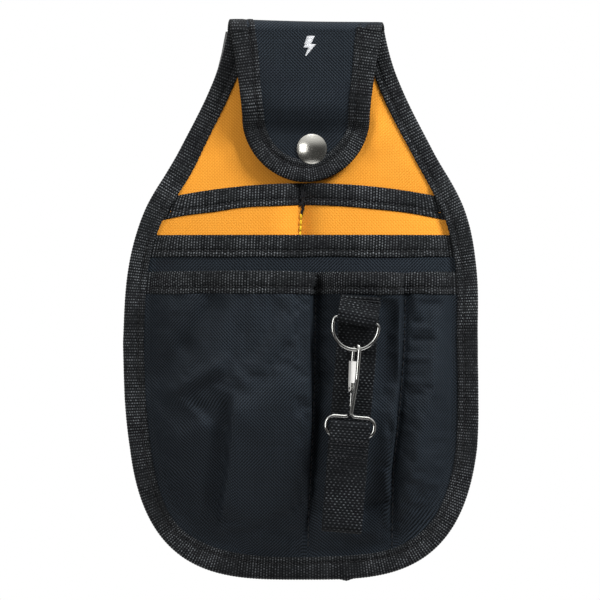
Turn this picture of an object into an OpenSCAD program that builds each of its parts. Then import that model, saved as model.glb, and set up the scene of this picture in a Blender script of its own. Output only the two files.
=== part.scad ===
// Electrician's tool pouch: a stiffened back panel with a snap-closed belt loop, three layered pockets
// and a webbing strap with a D-ring and a snap hook that holds rolls of tape.
// Frame: millimetres, origin at the middle of the belt loop, +Z up, -Y towards the viewer, the back at +Y.

/* [Body] */
// Drop from the belt loop's centre to the bottom edge
body_drop = 251; // [245:1:258]
// Widest width over the edge binding
body_w = 177.5; // [174:0.5:182]
// Width at the top fold
top_w = 78; // [76:1:80]
// Height of the top fold above the belt loop's centre
fold_top = 30; // [29:0.5:31]
// Width of the edge binding tape's visible lip
lip_w = 12; // [11:0.5:12.5]

/* [Pockets] */
// How far the middle pocket stands off the back at its fullest
middle_bulge = 12.4; // [11:0.1:13]
// Gap of the rear pocket at its fullest
rear_bulge = 6; // [5.5:0.1:6.5]
// How far each cell of the front pocket stands off the middle pocket
cell_bulge = 12; // [10:0.5:13]
// Height of the tape on each pocket's mouth
band_h = 11.5; // [10:0.5:12]

/* [Flap] */
// Half width of the flap where its round tip starts
flap_half_w = 32.3; // [31:0.1:33]
// Lowest point of the flap's tip
flap_tip = -52.2; // [-52.3:0.1:-50]
// Radius of the snap's cap
cap_r = 7.5; // [6.5:0.1:8]

/* [Tape strap] */
// Width of the webbing
web_w = 20; // [18:0.1:20.4]
// Thickness of the webbing
web_t = 1.4; // [1.2:0.1:1.5]
// Length of the hanging loop below its seam
loop_l = 115; // [112:1:118]
// Lean of the strap from the vertical, in degrees
strap_lean = 4.7; // [0:0.1:8]
// Radius of the D-ring's wire
ring_r = 0.95; // [0.9:0.01:0.98]
// Radius of the hook's wire
hook_r = 1.0; // [0.9:0.02:1.04]

/* [Hidden] */
$fn = 48;

black = [0.10, 0.11, 0.12];
navy = [0.13, 0.15, 0.18];
orange = [0.93, 0.56, 0.15];
steel = "silver";

// Depths of the layers, front to back. The border stack is what the edge binding holds.
liner_y = 3.5;          // front face of the orange liner
fabric_t = 0.6;         // thickness of a fabric layer
foam_t = 1.8;           // thickness of the stiffener
sheet_t = 0.5;          // thickness of a pocket's fabric
sheet_step = 0.9;       // one pocket's fabric to the next where they are sewn together
back_y = liner_y + fabric_t + foam_t + 1.2; // rear face of the back panel
lip_t = 0.65;           // thickness of the binding's lips
clear = 0.05;           // gap between layers that touch
rear_e = liner_y - 0.4 - sheet_t;           // front face of the rear pocket at its seams
middle_e = rear_e - sheet_step;
front_e = middle_e - sheet_step;
zone_z = -58;           // the binding is thick below this height, where it holds the pockets

// Outline: half width against height. The shoulders are a smooth curve, the bottom a superellipse.
wide_z = fold_top - 163.5;                  // height where the body is widest
bottom_h = body_drop + wide_z;              // height of the rounded part
squareness = 3.3;
shoulder_z = [fold_top + 12, fold_top, fold_top - 30, fold_top - 66, fold_top - 96, fold_top - 126,
              wide_z, wide_z - 30];
shoulder_f = [-0.06, 0, 0.14, 0.49, 0.825, 0.97, 1, 1];

function slope(zs, fs, i) = (fs[i + 1] - fs[i - 1]) / (zs[i + 1] - zs[i - 1]);
function hermite(p, q, mp, mq, h, t) =
  (2 * t ^ 3 - 3 * t ^ 2 + 1) * p + (t ^ 3 - 2 * t ^ 2 + t) * h * mp
  + (3 * t ^ 2 - 2 * t ^ 3) * q + (t ^ 3 - t ^ 2) * h * mq;
// Smooth curve through (zs, fs), for zs that fall, from the second point to the last but one
function curve(zs, fs, z, i = 1) =
  (z < zs[i + 1] && i < len(zs) - 3) ? curve(zs, fs, z, i + 1)
  : let (h = zs[i + 1] - zs[i])
    hermite(fs[i], fs[i + 1], slope(zs, fs, i), slope(zs, fs, i + 1), h, (z - zs[i]) / h);
function superellipse_w(w, h, d) = w * max(0, 1 - (d / h) ^ squareness) ^ (1 / squareness);
function half_w(z) =
  z >= wide_z
  ? top_w / 2 + (body_w - top_w) / 2 * curve(shoulder_z, shoulder_f, min(z, fold_top))
  : superellipse_w(body_w / 2, bottom_h, wide_z - z);

// Right-hand side of the outline, from above the fold to the bottom
shoulder_steps = 22;
corner_steps = 22;
top_z = fold_top + 6;
right_side = concat(
  [for (i = [0 : shoulder_steps - 1]) let (z = top_z + (wide_z - top_z) * i / shoulder_steps) [half_w(z), z]],
  [for (i = [0 : corner_steps]) let (a = 90 * i / corner_steps)
    [body_w / 2 * cos(a) ^ (2 / squareness), wide_z - bottom_h * sin(a) ^ (2 / squareness)]]
);
function inset_side(pts, t) =
  let (n = len(pts))
  [for (i = [0 : n - 1])
    let (a = pts[max(i - 1, 0)], b = i == n - 1 ? [-pts[n - 2][0], pts[n - 2][1]] : pts[i + 1],
         d = b - a, l = norm(d))
    [i == n - 1 ? 0 : pts[i][0] + d[1] / l * t, pts[i][1] - d[0] / l * t]];
function both_sides(right) =
  concat(right, [for (i = [len(right) - 2 : -1 : 0]) [-right[i][0], right[i][1]]]);

// The fold at the top: half a ring about the flap's hinge axis
flap_t = 2.3;                               // thickness of the flap
fold_in_y = -3.9;                           // inner face of the flap at the fold
fold_r = (back_y - fold_in_y + flap_t) / 2; // outer radius of the fold
hinge_y = back_y - fold_r;
hinge_z = fold_top - fold_r;

module slab(y0, y1) { // a shape in X and Z, from y0 to y1
  translate([0, y1, 0]) rotate([90, 0, 0]) linear_extrude(y1 - y0) children();
}
module side_slab(x0, x1) { // a shape in Y and Z, from x0 to x1
  translate([x0, 0, 0]) rotate([90, 0, 90]) linear_extrude(x1 - x0) children();
}
module body_plate(inset, y0, y1, up = hinge_z) {
  intersection() {
    slab(y0, y1) polygon(both_sides(inset_side(right_side, inset)));
    translate([-body_w, y0 - 1, -body_drop - 1]) cube([2 * body_w, y1 - y0 + 2, up + body_drop + 1]);
  }
}

// ---- Back, liner and edge binding -------------------------------------------------------------
wall_t = 0.7;    // thickness of the tape round the outer edge
inner_edge = wall_t + 0.1;

module back_panel() {
  color(black) union() {
    body_plate(inner_edge, back_y - 1.2, back_y - lip_t - clear);
    body_plate(lip_w + 0.6, back_y - 1.2, back_y);
  }
}
eyelet_r = 5;
module back_stiffener() {
  color("dimgray") difference() {
    body_plate(1.4, liner_y + fabric_t, back_y - 1.2);
    translate([snap_x, 0, snap_z]) post(liner_y + fabric_t - 1, liner_y + fabric_t + 0.8, eyelet_r + 0.2);
  }
}
module front_liner() {
  color(orange) difference() {
    body_plate(inner_edge, liner_y, liner_y + fabric_t);
    translate([snap_x, 0, snap_z]) post(liner_y - 1, liner_y + fabric_t + 1, rivet_r + 0.1);
  }
}
module binding_zone(z0, z1, front) { // the tape between two heights, with its front face at front
  difference() {
    intersection() {
      body_plate(0, front, back_y);
      translate([-body_w, front - 1, z0]) cube([2 * body_w, back_y - front + 2, z1 - z0]);
    }
    body_plate(lip_w, front - 1, back_y + 1, hinge_z + 1);
    body_plate(wall_t, front + lip_t, back_y - lip_t, hinge_z + 1);
  }
}
module edge_binding() {
  color(black) union() {
    binding_zone(-body_drop - 1, zone_z, front_e - clear - lip_t);
    binding_zone(zone_z, hinge_z, liner_y - clear - lip_t);
  }
}

// ---- Pockets: sheets over a common grid, so that each lies wholly in front of the one behind ---
divider_x = -1;                     // seam down the middle of the rear pocket
rim_inset = 12.5;                   // the sheets lie flat from here out
mouth_front = -96.5;
mouth_middle = -78.5;
mouth_rear = -53.2;                 // at the centre: the edge is an arch
arch_drop = 6.5;                    // at arch_x from the centre
arch_x = 66;
low_rows = [-body_drop + 5.5, -body_drop + rim_inset, -234, -228, -219, -205, -188, -168, -148, -128];
function rear_edge(x) = mouth_rear - arch_drop * (x / arch_x) ^ 2;
function seam_a(z) = 5 + (z + 170) * 0.02;    // seam between the left and middle cells
function seam_b(z) = 46.5 + (z + 170) * 0.035; // seam between the middle and right cells

seam_half = 1;                      // half the width that a seam holds flat
left_steps = [0, 0.07, 0.16, 0.28, 0.42, 0.57, 0.71, 0.84, 0.93, 1];
middle_steps = [0, 0.08, 0.18, 0.3, 0.45, 0.62, 0.8, 0.9, 0.95, 1];
right_steps = [0, 0.12, 0.28, 0.46, 0.66, 0.85, 1];
function spread(a, b, steps) = [for (s = steps) a + (b - a) * s];
function columns(z) =
  let (we = half_w(z) - 3.2, wi = half_w(z) - rim_inset, h = seam_half, a = seam_a(z),
       b = min(seam_b(z), wi - 4))
  concat([-we], spread(-wi, divider_x - h, left_steps), spread(divider_x + h, a - h, [0, 0.4, 0.75, 1]),
         spread(a + h, b - h, middle_steps), spread(b + h, wi, right_steps), [we]);

// 0 at the seam round the border, rising to 1 in the middle of the panel
function ring_of(x, z) =
  z >= wide_z ? abs(x) / (half_w(z) - rim_inset)
  : ((abs(x) / (body_w / 2 - rim_inset)) ^ squareness
     + ((wide_z - z) / (bottom_h - rim_inset)) ^ squareness) ^ (1 / squareness);
function pillow(x, z) = max(0, 1 - (ring_of(x, z) / 0.95) ^ 4);
// 0 on a seam, rising to 1 at width w from it
function pinned(d, w) = 1 - (1 - min(max(abs(d) - seam_half, 0) / w, 1)) ^ 3;

function rear_y(x, z) = rear_e - rear_bulge * pillow(x, z) * pinned(x - divider_x, 18);
function middle_y(x, z) = middle_e - middle_bulge * pillow(x, z);
// A cell of the front pocket drops steeply to the seam on its right and slowly to the one on its left
function pleat(d) = pinned(d, d < 0 ? 5 : 13);
function front_y(x, z) =
  front_e - pillow(x, z) * (middle_bulge + cell_bulge * pleat(x - seam_a(z)) * pleat(x - seam_b(z)));
function sheet_y(kind, x, z) =
  kind == "rear" ? rear_y(x, z) : kind == "middle" ? middle_y(x, z) : front_y(x, z);

// A row of points at height z, or on the arch when rise is given
function flat_row(kind, z) = [for (x = columns(z)) [x, sheet_y(kind, x, z), z]];
function arch_row(kind, drop) =
  [for (x = columns(mouth_rear - arch_drop)) let (z = rear_edge(x) - drop) [x, sheet_y(kind, x, z), z]];

function quad(a, b, c, d) = [[a, b, c], [a, c, d]];
module sheet(rows) { // a fabric of sheet_t behind the given surface
  nr = len(rows);
  nc = len(rows[0]);
  n = nr * nc;
  front = [for (r = rows) for (p = r) p];
  rear = [for (p = front) p + [0, sheet_t, 0]];
  faces = concat(
    [for (i = [0 : nr - 2]) for (j = [0 : nc - 2])
      each quad(i * nc + j, (i + 1) * nc + j, (i + 1) * nc + j + 1, i * nc + j + 1)],
    [for (i = [0 : nr - 2]) for (j = [0 : nc - 2])
      each [for (f = quad(i * nc + j, (i + 1) * nc + j, (i + 1) * nc + j + 1, i * nc + j + 1))
        [n + f[0], n + f[2], n + f[1]]]],
    [for (j = [0 : nc - 2]) each quad(j, j + 1, n + j + 1, n + j)],
    [for (j = [0 : nc - 2]) let (k = (nr - 1) * nc + j) each quad(k + 1, k, n + k, n + k + 1)],
    [for (i = [0 : nr - 2]) let (k = i * nc) each quad(k + nc, k, n + k, n + k + nc)],
    [for (i = [0 : nr - 2]) let (k = i * nc + nc - 1) each quad(k, k + nc, n + k + nc, n + k)]
  );
  polyhedron(concat(front, rear), faces, convexity = 6);
}

band_t = 0.55;   // front lip of the tape on a pocket's mouth
band_rear_t = 0.3;
band_top_t = 0.55;
module band(top_row, low_row) { // tape folded over a mouth, between its edge and a row below it
  nc = len(top_row);
  section = [
    for (j = [1 : nc - 2])
      let (t = top_row[j], b = low_row[j], f = band_t + clear, r = sheet_t + clear)
      each [
        b + [0, -f, 0], t + [0, -f, band_top_t + clear],
        t + [0, r + band_rear_t, band_top_t + clear], b + [0, r + band_rear_t, 0],
        b + [0, r, 0], t + [0, r, clear], t + [0, -clear, clear], b + [0, -clear, 0]
      ]
  ];
  last = (nc - 3) * 8;
  faces = concat(
    [for (j = [0 : nc - 4]) for (k = [0 : 7]) // cut across the same way as the sheet's own faces
      let (p = j * 8 + k, q = j * 8 + (k + 1) % 8)
        each k % 4 == 0 ? quad(p, q, q + 8, p + 8) : quad(q, q + 8, p + 8, p)],
    [for (q = [[0, 7, 6, 1], [1, 6, 5, 2], [2, 5, 4, 3]]) each quad(q[0], q[1], q[2], q[3])],
    [for (q = [[1, 6, 7, 0], [2, 5, 6, 1], [3, 4, 5, 2]])
      each quad(last + q[0], last + q[1], last + q[2], last + q[3])]
  );
  polyhedron(section, faces, convexity = 6);
}

front_rows = concat([for (z = low_rows) flat_row("front", z)],
                    [flat_row("front", mouth_front - band_h), flat_row("front", mouth_front)]);
middle_rows = concat([for (z = low_rows) flat_row("middle", z)],
                     [for (z = [mouth_front - band_h, mouth_front, mouth_middle - band_h, mouth_middle])
                       flat_row("middle", z)]);
rear_rows = concat([for (z = low_rows) flat_row("rear", z)],
                   [for (z = [mouth_front - band_h, mouth_front, mouth_middle - band_h, mouth_middle])
                     flat_row("rear", z)],
                   [arch_row("rear", band_h), arch_row("rear", 0)]);

module rear_pocket() { color(orange) sheet(rear_rows); }
module middle_pocket() { color(navy) sheet(middle_rows); }
module front_pocket() { color(navy) sheet(front_rows); }
module rear_pocket_binding() { color(black) band(arch_row("rear", 0), arch_row("rear", band_h)); }
module middle_pocket_binding() {
  color(black) band(flat_row("middle", mouth_middle), flat_row("middle", mouth_middle - band_h));
}
module front_pocket_binding() {
  color(black) band(flat_row("front", mouth_front), flat_row("front", mouth_front - band_h));
}

stitch_l = 2.6;
stitch_pitch = 3.4;
stitch_n = 42;
bartack_h = 5;
stitch_t = 0.3;
module divider_stitching() { // thread down the rear pocket's middle seam
  color("gold") for (i = [0 : stitch_n - 1])
    translate([divider_x - 0.3, rear_e - clear - stitch_t,
               mouth_rear - band_h - bartack_h - stitch_pitch - i * stitch_pitch])
      cube([0.6, stitch_t, stitch_l]);
}
cell_stitch_pitch = 6.2;
cell_stitch_n = 18;
module cell_stitching() { // thread down the seams between the front pocket's cells
  color(black) for (i = [0 : cell_stitch_n - 1])
    let (z = mouth_front - band_h - 4 - i * cell_stitch_pitch)
      for (x = [seam_a(z), seam_b(z)])
        translate([x - 0.3, front_y(x, z) - 1, z]) cube([0.6, stitch_t, stitch_l]);
}
module divider_bartack() { // dense black stitching at the top of that seam
  color(black) translate([divider_x - 0.9, rear_e - clear - 0.5, mouth_rear - band_h - bartack_h])
    cube([1.8, 0.5, bartack_h - 0.2]);
}

// ---- Belt-loop flap ---------------------------------------------------------------------------
tip_start = -20;                    // height where the flap's round tip starts
flap_face_z = [fold_top, hinge_z, 10, -4, -14, -20, -24, -27, -28, -60, -70];
flap_face_y = [fold_in_y, fold_in_y, -4.4, -4.6, -4.2, -2.4, -0.6, 0.3, 0.4, 0.4, 0.4];
function flap_face(z) = curve(flap_face_z, flap_face_y, z);
function flap_half(z) =
  flap_half_w + (top_w / 2 - flap_half_w) * (max(0, z - tip_start) / (fold_top - tip_start)) ^ 1.3;
flap_side = concat(
  [for (i = [0 : 9]) let (z = fold_top + (tip_start - fold_top) * i / 10) [flap_half(z), z]],
  [for (a = [0 : 7.5 : 90]) [flap_half_w * cos(a), tip_start + (flap_tip - tip_start) * sin(a)]]
);
flap_profile_steps = 26;
module flap_layer(inset, o0, o1) { // a layer of the flap, o0 to o1 in front of its inner face
  profile = [for (i = [0 : flap_profile_steps])
    let (z = hinge_z + (flap_tip - 1 - hinge_z) * i / flap_profile_steps) [flap_face(z), z]];
  intersection() {
    slab(-20, 10) polygon(both_sides(inset_side(flap_side, inset)));
    side_slab(-60, 60) polygon(concat([for (p = profile) [p[0] - o0, p[1]]],
      [for (i = [flap_profile_steps : -1 : 0]) [profile[i][0] - o1, profile[i][1]]]));
  }
}

snap_x = 4.2;
snap_z = -35.5;
rivet_r = 1.6;
module post(y0, y1, r) { translate([0, y1, 0]) rotate([90, 0, 0]) cylinder(h = y1 - y0, r = r); }
module rivet_hole() { translate([snap_x, 0, snap_z]) post(-8, 4, rivet_r + 0.1); }
flap_edge = 0.8;                    // the tape's outer edge to the fabric's cut edge
flap_lip_t = 0.4;

module flap_shell() {
  color(navy) difference() { flap_layer(flap_edge, flap_t - fabric_t, flap_t - clear); rivet_hole(); }
}
module flap_stiffener() {
  color("dimgray") difference() {
    flap_layer(flap_edge + 1, fabric_t, flap_t - fabric_t - clear);
    rivet_hole();
  }
}
module flap_lining() {
  color(navy) difference() { flap_layer(flap_edge, clear, fabric_t - clear); rivet_hole(); }
}
module flap_binding() {
  color(black) difference() {
    flap_layer(0, -flap_lip_t, flap_t + lip_t);
    flap_layer(lip_w - 0.5, -2, flap_t + 2);
    flap_layer(flap_edge - 0.2, 0, flap_t);
    translate([snap_x, 0, snap_z]) post(-8, flap_face(snap_z) - 0.1, cap_r + 0.15);
    translate([snap_x, 0, snap_z]) post(flap_face(snap_z) - 0.1, 4, socket_r + 0.15);
  }
}
module flap_fold() { // the fabric of the back turned over into the flap
  color(navy) side_slab(-flap_half(hinge_z) + 0.4, flap_half(hinge_z) - 0.4)
    translate([hinge_y, hinge_z + clear]) difference() {
      circle(r = fold_r);
      circle(r = fold_r - flap_t);
      translate([-20, -20]) square([40, 20]);
    }
}
badge_h = 10.5;
module flap_badge() { // a plain bolt of raised stitching
  bolt = [[-0.1, 0.5], [0.28, 0.5], [0.06, 0.1], [0.32, 0.1], [-0.2, -0.5], [-0.04, -0.06], [-0.3, -0.06]];
  color("white") intersection() {
    translate([1.5, 0, 15.5]) slab(-12, 0) polygon([for (p = bolt) p * badge_h]);
    flap_layer(6, flap_t, flap_t + 0.45);
  }
}

// ---- Snap: cap and socket on the flap, stud and eyelet on the liner ----------------------------
cap_h = 2.1;
module turned(profile) { rotate([90, 0, 0]) rotate_extrude($fn = 64) polygon(profile); }
module snap_cap() { // a domed shell with a rivet through the flap
  face = flap_face(snap_z) - flap_t;
  dome_r = (cap_r ^ 2 + cap_h ^ 2) / (2 * cap_h);
  edge_a = asin(cap_r / dome_r);
  color(steel) translate([snap_x, face - clear, snap_z]) turned(concat(
    [[0, -flap_t - 0.2], [rivet_r, -flap_t - 0.2], [rivet_r, 0], [cap_r - 0.4, 0], [cap_r, 0.25]],
    [for (i = [0 : 8]) let (a = edge_a * (1 - i / 8))
      [dome_r * sin(a), dome_r * cos(a) - dome_r + cap_h + 0.25]]
  ));
}
socket_r = 5.2;
socket_bore = 3.3;
socket_h = 1.9;
module snap_socket() { // grips the stud; open towards the body
  color(steel) translate([snap_x, flap_face(snap_z) + clear, snap_z]) difference() {
    post(0.02, socket_h, socket_r);
    post(0.35, socket_h + 1, socket_bore);
    post(-1, 1, rivet_r + 0.05);
  }
}
stud_r = 3.05;
snap_wire_r = 0.18;
module snap_spring() { // a split ring in the socket that grips behind the stud's rim
  color(steel) translate([snap_x, liner_y - 1.25, snap_z]) rotate([90, 115, 0])
    rotate_extrude(angle = 310, $fn = 64) translate([socket_bore - snap_wire_r - 0.02, 0])
      circle(r = snap_wire_r, $fn = 16);
}
module snap_stud() {
  color(steel) translate([snap_x, liner_y, snap_z]) turned([
    [0, 0.01], [eyelet_r, 0.01], [eyelet_r, 0.4], [stud_r - 0.3, 0.5], [stud_r - 0.3, 1.2], [stud_r, 1.5],
    [stud_r, 1.9], [stud_r - 0.5, 2.2], [0, 2.2]
  ]);
}
module snap_eyelet() { // rivets the stud through the liner from inside
  color(steel) translate([snap_x, 0, snap_z]) union() {
    post(liner_y + 0.01, liner_y + fabric_t + 0.1, rivet_r);
    post(liner_y + fabric_t + 0.05, liner_y + fabric_t + 0.55, eyelet_r);
  }
}

// ---- Tape strap, in its own frame: origin on its seam, hanging along -Z ------------------------
seam_pos = [28.2, front_y(28, -112) - band_t - 0.6, -112];
module strap_frame() { translate(seam_pos) rotate([0, strap_lean, 0]) children(); }
tab_turn = 6.5;                     // the ring's tab hangs askew by this much
tab_gap = 0.6;                      // the tab starts this far below the sewn-down ends
module tab_frame() { strap_frame() translate([0, 0, -1]) rotate([0, tab_turn, 0]) translate([0, 0, 1]) children(); }
bore_gap = 0.1;                     // running clearance of a wire in its fold
bar_y = -web_t - 4.8;               // depth of the ring's and the hook's bars
ring_bar_z = -9.2;
ring_slack = 0.35;                  // the tab's fold hangs this much below the bar
ring_drop = 14.7;                   // bar to the lowest point of the ring
ring_w = web_w + 0.8 + 2 * ring_r;  // side to side, between the wire's centres
hook_bar_z = -66.6;                 // the hook's bar hangs low in its fold
hook_fold_z = -61.8;                // top of the hollow in that fold
leg_gap = -bar_y - web_t + hook_r + bore_gap; // between the two legs of the loop
fold_c = [-web_t - leg_gap / 2, -loop_l + leg_gap / 2 + web_t]; // centre of the bottom fold
tail_l = 12;                        // end of the webbing sewn back on itself below the hook
fold_out = hook_r + bore_gap + web_t;
function arc(c, r, a0, a1, n) = [for (i = [0 : n]) let (a = a0 + (a1 - a0) * i / n) c + r * [cos(a), sin(a)]];

module tape_strap() {
  color(black) strap_frame() difference() {
    side_slab(-web_w / 2, web_w / 2) polygon(concat(
      [[0, -0.05]], arc(fold_c, leg_gap / 2 + web_t, 0, -180, 14),
      arc([bar_y, hook_fold_z], fold_out, 180, 0, 14),
      [[bar_y + fold_out, hook_bar_z - tail_l + 2], [bar_y - fold_out + web_t, hook_bar_z - tail_l]],
      arc(fold_c, leg_gap / 2, 180, 360, 12), [[-web_t, -0.05]]
    ));
    for (z = [hook_bar_z, hook_fold_z]) translate([-web_w, bar_y, z]) rotate([0, 90, 0])
      cylinder(h = 2 * web_w, r = hook_r + bore_gap);
    translate([-web_w, bar_y - hook_r - bore_gap, hook_bar_z])
      cube([2 * web_w, 2 * (hook_r + bore_gap), hook_fold_z - hook_bar_z]);
  }
}
tab_out = ring_r + bore_gap + web_t;
module ring_tab() { // short webbing folded round the D-ring's bar
  color(black) intersection() {
    strap_frame() translate([-web_w, -10, -40]) cube([2 * web_w, 10, 40 - tab_gap]);
    tab_frame() difference() {
      side_slab(-web_w / 2, web_w / 2) polygon(concat(
        [[-web_t - 0.1, 3]], arc([bar_y, ring_bar_z - ring_slack], tab_out, 10, -190, 16),
        [[-3 * web_t - 0.1, 0], [-3 * web_t - 0.1, 3]]
      ));
      for (z = [ring_bar_z, ring_bar_z - ring_slack]) translate([-web_w, bar_y, z]) rotate([0, 90, 0])
        cylinder(h = 2 * web_w, r = ring_r + bore_gap);
      translate([-web_w, bar_y - ring_r - bore_gap, ring_bar_z - ring_slack])
        cube([2 * web_w, 2 * (ring_r + bore_gap), ring_slack]);
    }
  }
}
module strap_anchor() { // the webbing's ends above the seam, sewn under the pocket's tape
  color(black) strap_frame() translate([-web_w / 2, -3 * web_t - 0.1, 0]) cube([web_w, 3 * web_t + 0.1, 3.1]);
}
module anchor_stitching() { // thread across the sewn ends
  y0 = -3 * web_t - 0.1 - clear;
  color("dimgray") strap_frame() for (i = [0 : 5])
    translate([-web_w / 2 + 1.6 + i * 2.9, y0 - stitch_t, 0.5]) cube([2.1, stitch_t, 0.6]);
}
module strap_box_stitch() { // thread that closes the hook's fold, proud of the front leg
  z0 = hook_bar_z - 2.6;
  y0 = bar_y - fold_out - clear;
  color("dimgray") strap_frame() for (z = [z0, z0 - 2]) for (i = [0 : 5])
    translate([-web_w / 2 + 1.6 + i * 2.9, y0 - stitch_t, z]) cube([2.1, stitch_t, 0.6]);
}

module rod(p, q, r) { // a straight wire
  d = q - p;
  translate(p) rotate([0, acos(d[2] / norm(d)), atan2(d[1], d[0])]) cylinder(h = norm(d), r = r, $fn = 32);
}
module bend(centre, big, r, a0, a1) { // a curved wire in X and Z, from angle a0 to a1
  translate(centre) rotate([90, 0, 0]) rotate([0, 0, a0])
    rotate_extrude(angle = a1 - a0, $fn = 96) translate([big, 0]) circle(r = r, $fn = 32);
}
corner = 2.4;
module d_ring() {
  w = ring_w / 2;
  side = ring_drop - w;             // from the bar down to the arc
  c = min(corner, side - 0.1);
  color(steel) tab_frame() translate([0, bar_y, ring_bar_z]) union() {
    rod([-w + c, 0, 0], [w - c, 0, 0], ring_r);
    for (s = [-1, 1]) {
      bend([s * (w - c), 0, -c], c, ring_r, s > 0 ? 0 : 90, s > 0 ? 90 : 180);
      rod([s * w, 0, -c], [s * w, 0, -side], ring_r);
    }
    bend([0, 0, -side], w, ring_r, 180, 360);
  }
}

// ---- Hook: a wire frame on the strap's end, with a sprung gate ---------------------------------
base_w = web_w + 2 + 2 * hook_r;    // side to side, between the wire's centres
base_h = 9.3;
base_corner = 4.3;
spine_x = 0;                        // where the spine meets the base, from the strap's middle
eye_half = 3.5;                     // half the hook's width, between the wire's centres
eye_top = -21.1;                    // highest point of the wire's centre line
eye_z = eye_top - eye_half;
hook_turn = 115;                    // turn of the hook's own plane about Z
nose_z = -31.5;
spine_bend_z = -38.5;
foot_r = 2.2;                       // bend from the base's top bar into the spine
curl_r = 4;                         // bend of the wire's free end
curl_a = 28;
pin_u = 1.1;                        // gate's pin, across the hook and along it
pin_z = -43;
pin_r = 0.6;
lug_t = 1.1;
module hook_plane() { translate([spine_x, bar_y, 0]) rotate([0, 0, hook_turn]) children(); }

module hook_base() { // the wire's loop through the strap's fold, open at the middle of its top bar
  b = base_w / 2;
  c = base_corner;
  free_x = spine_x - 3.6;
  translate([0, bar_y, hook_bar_z]) {
    rod([-b + c, 0, 0], [b - c, 0, 0], hook_r);
    rod([-b + c, 0, base_h], [free_x, 0, base_h], hook_r);
    rod([spine_x + foot_r, 0, base_h], [b - c, 0, base_h], hook_r);
    for (s = [-1, 1]) rod([s * b, 0, c], [s * b, 0, base_h - c], hook_r);
    for (q = [[1, c, 270], [1, base_h - c, 0], [-1, base_h - c, 90], [-1, c, 180]])
      bend([q[0] * (b - c), 0, q[1]], c, hook_r, q[2], q[2] + 90);
    bend([free_x, 0, base_h + curl_r], curl_r, hook_r, 270, 270 + curl_a);
    bend([spine_x + foot_r, 0, base_h + foot_r], foot_r, hook_r, 180, 270);
  }
}
module hook_frame() {
  foot_z = hook_bar_z + base_h + foot_r;
  color(steel) strap_frame() union() {
    hook_base();
    hook_plane() {
      bend([0, 0, eye_z], eye_half, hook_r, 0, 180);
      rod([eye_half, 0, eye_z], [eye_half, 0, nose_z], hook_r);
      rod([-eye_half, 0, eye_z], [-eye_half, 0, spine_bend_z], hook_r);
      rod([-eye_half - 0.06, 0, spine_bend_z + 0.3], [0.06, 0, foot_z - 0.3], hook_r + 0.06);
    }
    hook_plane() difference() {
      translate([-2.9, -lug_t / 2, pin_z - 2.2]) cube([2.9 + pin_u + 1.3, lug_t, 4.2]);
      translate([pin_u, 2, pin_z]) rotate([90, 0, 0]) cylinder(h = 4, r = pin_r, $fn = 32);
    }
  }
}
cheek_in = 1.15;                    // half the space between the gate's cheeks
cheek_t = 0.35;
gate_len = 13.4;
module gate_pin() {
  h = 2 * (cheek_in + cheek_t) + 0.5;
  color(steel) strap_frame() hook_plane() translate([pin_u, h / 2, pin_z]) rotate([90, 0, 0])
    cylinder(h = h, r = pin_r, $fn = 32);
}
module hook_gate() { // a folded channel that closes on the inside of the nose
  cheek = [[-0.9, -1.3], [0.6, -1.9], [1.3, -0.6], [1.9, 3], [3.2, gate_len], [0.75, gate_len], [-0.55, 2.6]];
  web = [[-0.55, 2.6], [-0.15, 2.6], [1.15, gate_len], [0.75, gate_len]];
  color(steel) strap_frame() hook_plane() translate([pin_u, 0, pin_z]) difference() {
    union() {
      for (s = [-1, 1]) translate([0, s > 0 ? cheek_in + cheek_t : -cheek_in, 0])
        rotate([90, 0, 0]) linear_extrude(cheek_t) polygon(cheek);
      translate([0, cheek_in + 0.1, 0]) rotate([90, 0, 0]) linear_extrude(2 * cheek_in + 0.2) polygon(web);
    }
    translate([0, 4, 0]) rotate([90, 0, 0]) cylinder(h = 8, r = pin_r + 0.06, $fn = 32);
  }
}
spring_r = 0.35;
module gate_spring() { // a straight wire from the spine's foot that presses the gate outwards
  foot_z = hook_bar_z + base_h + foot_r;
  color(steel) strap_frame() hook_plane()
    rod([1.33, 0, foot_z - 0.8], [2.05, 0, pin_z - 2.3], spring_r);
}

back_panel();
back_stiffener();
front_liner();
edge_binding();
rear_pocket();
rear_pocket_binding();
divider_stitching();
divider_bartack();
cell_stitching();
anchor_stitching();
middle_pocket();
middle_pocket_binding();
front_pocket();
front_pocket_binding();
snap_stud();
snap_eyelet();
strap_anchor();
flap_fold();
flap_shell();
flap_stiffener();
flap_lining();
flap_binding();
flap_badge();
snap_cap();
snap_socket();
snap_spring();
tape_strap();
ring_tab();
strap_box_stitch();
d_ring();
hook_frame();
gate_pin();
gate_spring();
hook_gate();
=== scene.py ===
"""Electrician's tool pouch: fabric, tape, webbing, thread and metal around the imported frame.

Points are worked out in millimetres in the CAD's frame (X right, -Y to the front, Z up) and go into
Blender in metres. UVs are metres along the cloth, so a weave keeps its real scale everywhere.
"""
import math

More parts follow.
